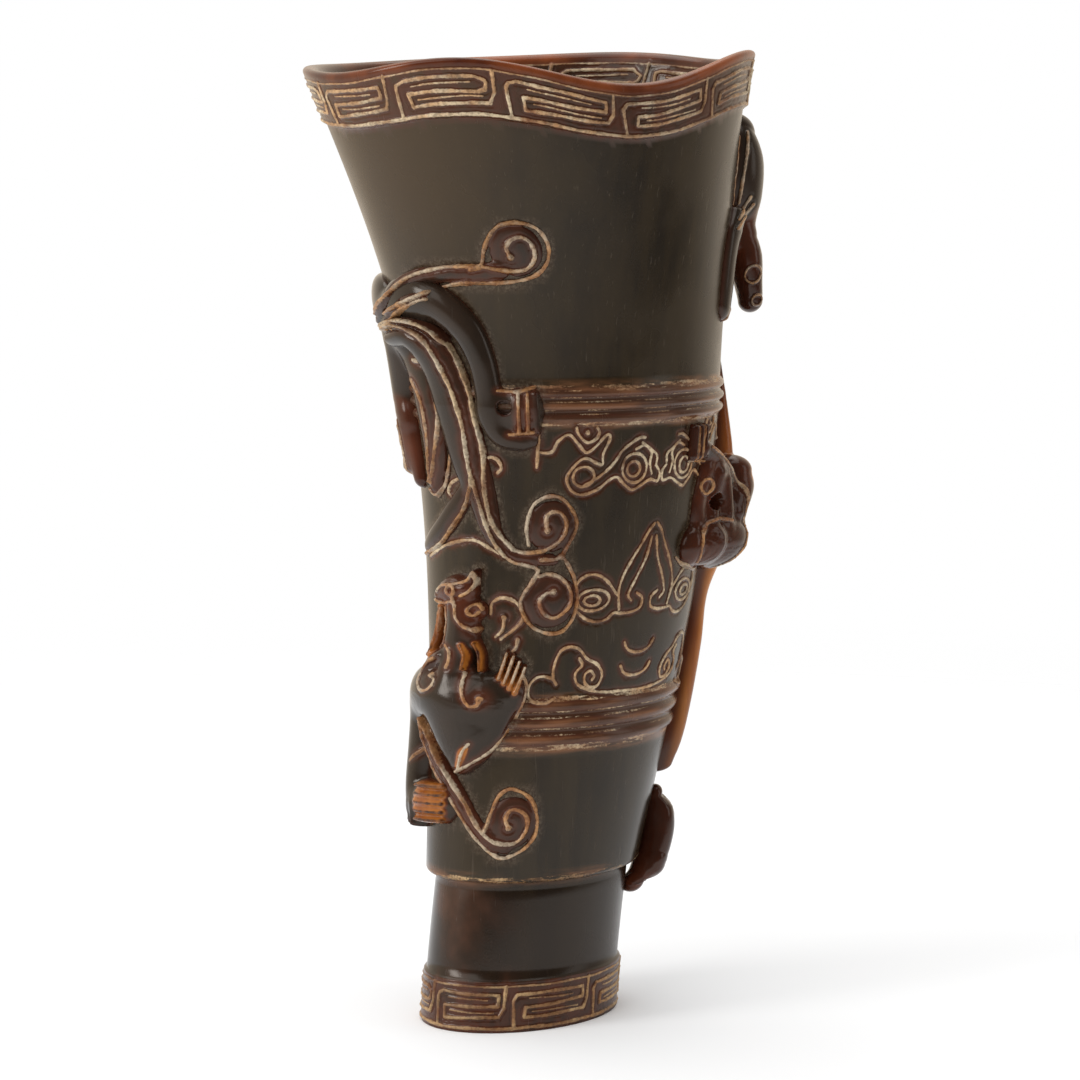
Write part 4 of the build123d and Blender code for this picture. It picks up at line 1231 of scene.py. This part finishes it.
def place_group(tree, group, **values):
    """What a group puts out when placed in a material with its own colours and values."""
    node = add_node(tree, "ShaderNodeGroup", node_tree=group)
    for name, value in values.items():
        feed(tree, node.inputs[name], value)
    return node.outputs


def polish(tree, shader, growth, worn, smooth, dull, depth):
    """Gloss of polished horn, duller on worn cuts, with fine scratches and pores in its surface."""
    base = spread(tree, growth["Cloud"], 0, 1, smooth, smooth + CLOUD_DULL)
    gloss = arithmetic(tree, "ADD", base, times(tree, growth["Scratch"], SCRATCH_DULL))
    feed(tree, shader.inputs["Roughness"], arithmetic(tree, "ADD", gloss, times(tree, worn, dull)))
    bump = add_node(tree, "ShaderNodeBump")
    bump.inputs["Strength"].default_value = BUMP_STRENGTH
    bump.inputs["Distance"].default_value = depth
    feed(tree, bump.inputs["Height"], arithmetic(tree, "SUBTRACT", growth["Pore"], growth["Scratch"]))
    feed(tree, shader.inputs["Normal"], bump.outputs["Normal"])
    shader.inputs["IOR"].default_value = HORN_IOR
    shader.inputs["Specular Tint"].default_value = HORN_GLINT


def dark_horn_material(growth_group, carved_group, ring_group):
    """Polished dark horn of the wall, with cut ornament, worn rings and a reddish, polished lip."""
    material, tree, shader = start_material("polished dark horn")
    growth, rings = place_group(tree, growth_group), place_group(tree, ring_group)
    place = object_place(tree)
    axes = axes_of(tree, place)
    # painted light: the neck's left end is made paler and warmer, as if lit from the left
    end = times(tree, spread(tree, axes["X"], *LIT_END_X), spread(tree, axes["Z"], *LIT_END_Z))
    # the foot is made darker towards the bottom
    foot = spread(tree, axes["Z"], *FOOT_DARKER_Z)
    # painted sheen: a reddish patch on the left of the foot, where the light falls
    foot_sheen = times(tree, times(tree, foot, spread(tree, axes["X"], *FOOT_SHEEN_X)), growth["Cloud"])
    halo = mark(tree, "halo")
    scrapes = times(tree, halo, spread(tree, noise(tree, place, 1500, 5, 0.8), 0.4, 0.75))

    # stains, wear and painted light laid over the clouded horn one after the other: where, how strong, and
    # the colour
    stains = ((growth["Streak"], 0.6, WALL_STREAK), (growth["Scratch"], 0.16, WALL_SCRATCH),
              (end, 1.0, WALL_LIT_END), (foot, 0.7, FOOT_DARK), (foot_sheen, 1.0, FOOT_SHEEN),
              (rings["Band"], 0.75, RIB_BAND), (rings["Rub"], 0.65, RIB_RUB), (halo, 0.35, SCRAPED_DARK),
              (scrapes, 0.5, SCRAPED_PALE))
    body = mix_colour(tree, growth["Cloud"], WALL_DARK, WALL_PALE)
    for where, strength, stain in stains:
        body = mix_colour(tree, times(tree, where, strength), body, stain)

    low = spread(tree, axes["Z"], *FOOT_THREAD_Z)
    carved = place_group(tree, carved_group, Skin=body, Ground=WALL_GROUND,
                         Thread=mix_colour(tree, low, WALL_THREAD, FOOT_THREAD),
                         Bleached=mix_colour(tree, low, WALL_BLEACHED, FOOT_BLEACHED),
                         Cut=mark(tree, "ground"),
                         Crest=greatest(tree, mark(tree, "thread"), times(tree, rings["Ring"], 0.54)))
    lip = mix_colour(tree, growth["Cloud"], LIP_DARK, LIP_CLEAR)
    feed(tree, shader.inputs["Base Color"], mix_colour(tree, mark(tree, "lip"), carved["Colour"], lip))
    polish(tree, shader, growth, carved["Worn"], smooth=0.2, dull=0.3, depth=0.00004)
    return material


def figure_material(name, growth_group, carved_group, clear):
    """Carved horn of a figure: dark on its rounds, reddish by cuts and low down, amber where it is thin."""
    material, tree, shader = start_material(name)
    growth = place_group(tree, growth_group)
    bend, height, warmth = mark(tree, "bend"), mark(tree, "height"), mark(tree, "warmth")
    low = times(tree, spread(tree, height, 0.2, 0.02), 0.7)
    clouded = spread(tree, growth["Cloud"], 0, 1, 0.5, 1)
    redness = times(tree, greatest(tree, mark(tree, "groove"), low), clouded)
    red_limbs = mix_colour(tree, growth["Cloud"], LIMB_RED_DARK, LIMB_RED_PALE)
    clear_horn = mix_colour(tree, growth["Streak"], AMBER_DARK, AMBER_PALE)
    amber = mix_colour(tree, spread(tree, height, 0.08, 0.65), AMBER_LOW, clear_horn)
    body = mix_colour(tree, growth["Cloud"], SKIN_DARK, SKIN_PALE)
    body = mix_colour(tree, redness, body, SKIN_RED)
    body = mix_colour(tree, spread(tree, warmth, 0.0, RED), body, red_limbs)
    body = mix_colour(tree, spread(tree, warmth, RED, AMBER), body, amber)
    worn_crest = times(tree, spread(tree, bend, 0.58, 0.8), 0.3)
    carved = place_group(tree, carved_group, Skin=body, Ground=FIGURE_GROUND,
                         Thread=mix_colour(tree, mark(tree, "pale"), FIGURE_THREAD, CORD_THREAD),
                         Bleached=FIGURE_BLEACHED, Cut=spread(tree, bend, 0.46, 0.32),
                         Crest=greatest(tree, mark(tree, "thread"), worn_crest))
    feed(tree, shader.inputs["Base Color"], carved["Colour"])
    polish(tree, shader, growth, carved["Worn"], smooth=0.13, dull=0.25, depth=0.00003)
    shader.inputs["Subsurface Weight"].default_value = clear
    shader.inputs["Subsurface Radius"].default_value = CLEAR_HORN_RADIUS
    shader.inputs["Subsurface Scale"].default_value = CLEAR_HORN_SCALE
    return material


growth_group = horn_growth_group()
carved_group = carved_colour_group()
dark_horn = dark_horn_material(growth_group, carved_group, ring_wear_group())
carved_horn = figure_material("carved dark horn", growth_group, carved_group, clear=0.0)
amber_horn = figure_material("carved amber horn", growth_group, carved_group, clear=0.15)

build_horn(dark_horn)
for figure in FIGURES:
    if figure["name"] == "lower_right_dragon":
        build_figure(figure, amber_horn)
    else:
        build_figure(figure, carved_horn)
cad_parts["base_plug"].data.materials.clear()
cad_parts["base_plug"].data.materials.append(dark_horn)

# Stage, light and camera

# Floor: where it starts to fade and where it ends, in millimetres, corners of its round edge, and finish
FLOOR_FADE, FLOOR_END = 160.0, 620.0
FLOOR_CORNERS = 96
FLOOR_WHITE, FLOOR_ROUGHNESS = (0.97, 0.97, 0.97, 1), 0.9
# Room as the gloss sees it: direction of its dark side, where that starts and is full, how bright it is
# there, and the room's warm tint; and the even light that falls on everything
DARK_SIDE = (-0.32, -0.94, 0.1)
DARK_START, DARK_FULL, DARK_LEVEL = -0.5, 0.45, 0.12
WARM_ROOM = (1.0, 0.87, 0.71, 1.0)
AMBIENT = 0.62
# Softboxes: name, place, what they face, width and height in millimetres, and power
SOFTBOXES = (("left softbox", (-760, -60, 620), (0, 0, 110), 620, 700, 2.2),
             ("right softbox", (520, -560, 320), (0, 0, 110), 240, 620, 0.5),
             ("window", (-690, 225, 300), (0, 0, 110), 220, 360, 2.0),
             ("top softbox", (60, 160, 900), (0, 0, 100), 900, 900, 4))
# Camera: place and target in millimetres, and lens
CAMERA_PLACE = (-458.1, -527.0, 180.5)
CAMERA_TARGET = (3.28, -2.85, 99.8)
CAMERA_LENS = 112.67


def face(thing, place, target):
    """Put a lamp or camera at a place and turn it to a target."""
    thing.location = Vector(place) * MM
    thing.rotation_euler = (Vector(target) - Vector(place)).to_track_quat("-Z", "Y").to_euler()
    bpy.context.scene.collection.objects.link(thing)


def add_floor():
    """Pale floor that keeps the shadow and fades into the white behind it."""
    mesh = bpy.data.meshes.new("floor")
    turn = np.arange(FLOOR_CORNERS) * 2 * np.pi / FLOOR_CORNERS
    rim = np.column_stack([np.cos(turn), np.sin(turn), np.zeros(FLOOR_CORNERS)]) * FLOOR_END * MM
    mesh.from_pydata(rim, [], [list(range(FLOOR_CORNERS))])
    floor = bpy.data.objects.new("floor", mesh)
    bpy.context.scene.collection.objects.link(floor)
    material, tree, shader = start_material("pale floor")
    shader.inputs["Base Color"].default_value = FLOOR_WHITE
    shader.inputs["Roughness"].default_value = FLOOR_ROUGHNESS
    shader.inputs["Specular IOR Level"].default_value = 0.0
    length = add_node(tree, "ShaderNodeVectorMath", operation="LENGTH")
    feed(tree, length.inputs[0], object_place(tree))
    fade = spread(tree, length.outputs["Value"], FLOOR_FADE * MM, FLOOR_END * MM, 1, 0)
    feed(tree, shader.inputs["Alpha"], fade)
    mesh.materials.append(material)


def add_world():
    """Even grey light; white behind the object, and in its gloss a warm room, dark on the viewer's side."""
    world = bpy.data.worlds.new("studio")
    bpy.context.scene.world = world
    world.use_nodes = True
    tree = world.node_tree
    back = tree.nodes["Background"]
    path = add_node(tree, "ShaderNodeLightPath")
    toward = add_node(tree, "ShaderNodeVectorMath", operation="DOT_PRODUCT")
    toward.inputs[1].default_value = DARK_SIDE
    feed(tree, toward.inputs[0], add_node(tree, "ShaderNodeTexCoord").outputs["Generated"])
    room = spread(tree, toward.outputs["Value"], DARK_FULL, DARK_START, DARK_LEVEL, 1.0)
    seen = greatest(tree, path.outputs["Is Camera Ray"], path.outputs["Is Transmission Ray"])
    in_gloss = times(tree, path.outputs["Is Glossy Ray"], room)
    even = times(tree, path.outputs["Is Diffuse Ray"], AMBIENT)
    feed(tree, back.inputs["Strength"], greatest(tree, seen, in_gloss, even))
    feed(tree, back.inputs["Color"], mix_colour(tree, path.outputs["Is Glossy Ray"], WHITE, WARM_ROOM))


def add_softbox(name, place, target, width, height, power):
    """Rectangular softbox that faces a target, in millimetres."""
    lamp = bpy.data.lights.new(name, "AREA")
    lamp.shape = "RECTANGLE"
    lamp.size, lamp.size_y = width * MM, height * MM
    lamp.energy = power
    face(bpy.data.objects.new(name, lamp), place, target)


def add_camera():
    """Camera at the photograph's viewing angle."""
    lens = bpy.data.cameras.new("camera")
    lens.lens = CAMERA_LENS
    lens.sensor_width = 36.0
    lens.clip_start = 0.01
    camera = bpy.data.objects.new("camera", lens)
    face(camera, CAMERA_PLACE, CAMERA_TARGET)
    bpy.context.scene.camera = camera


add_floor()
add_world()
for softbox in SOFTBOXES:
    add_softbox(*softbox)
add_camera()
bpy.context.scene.view_settings.view_transform = "Standard"
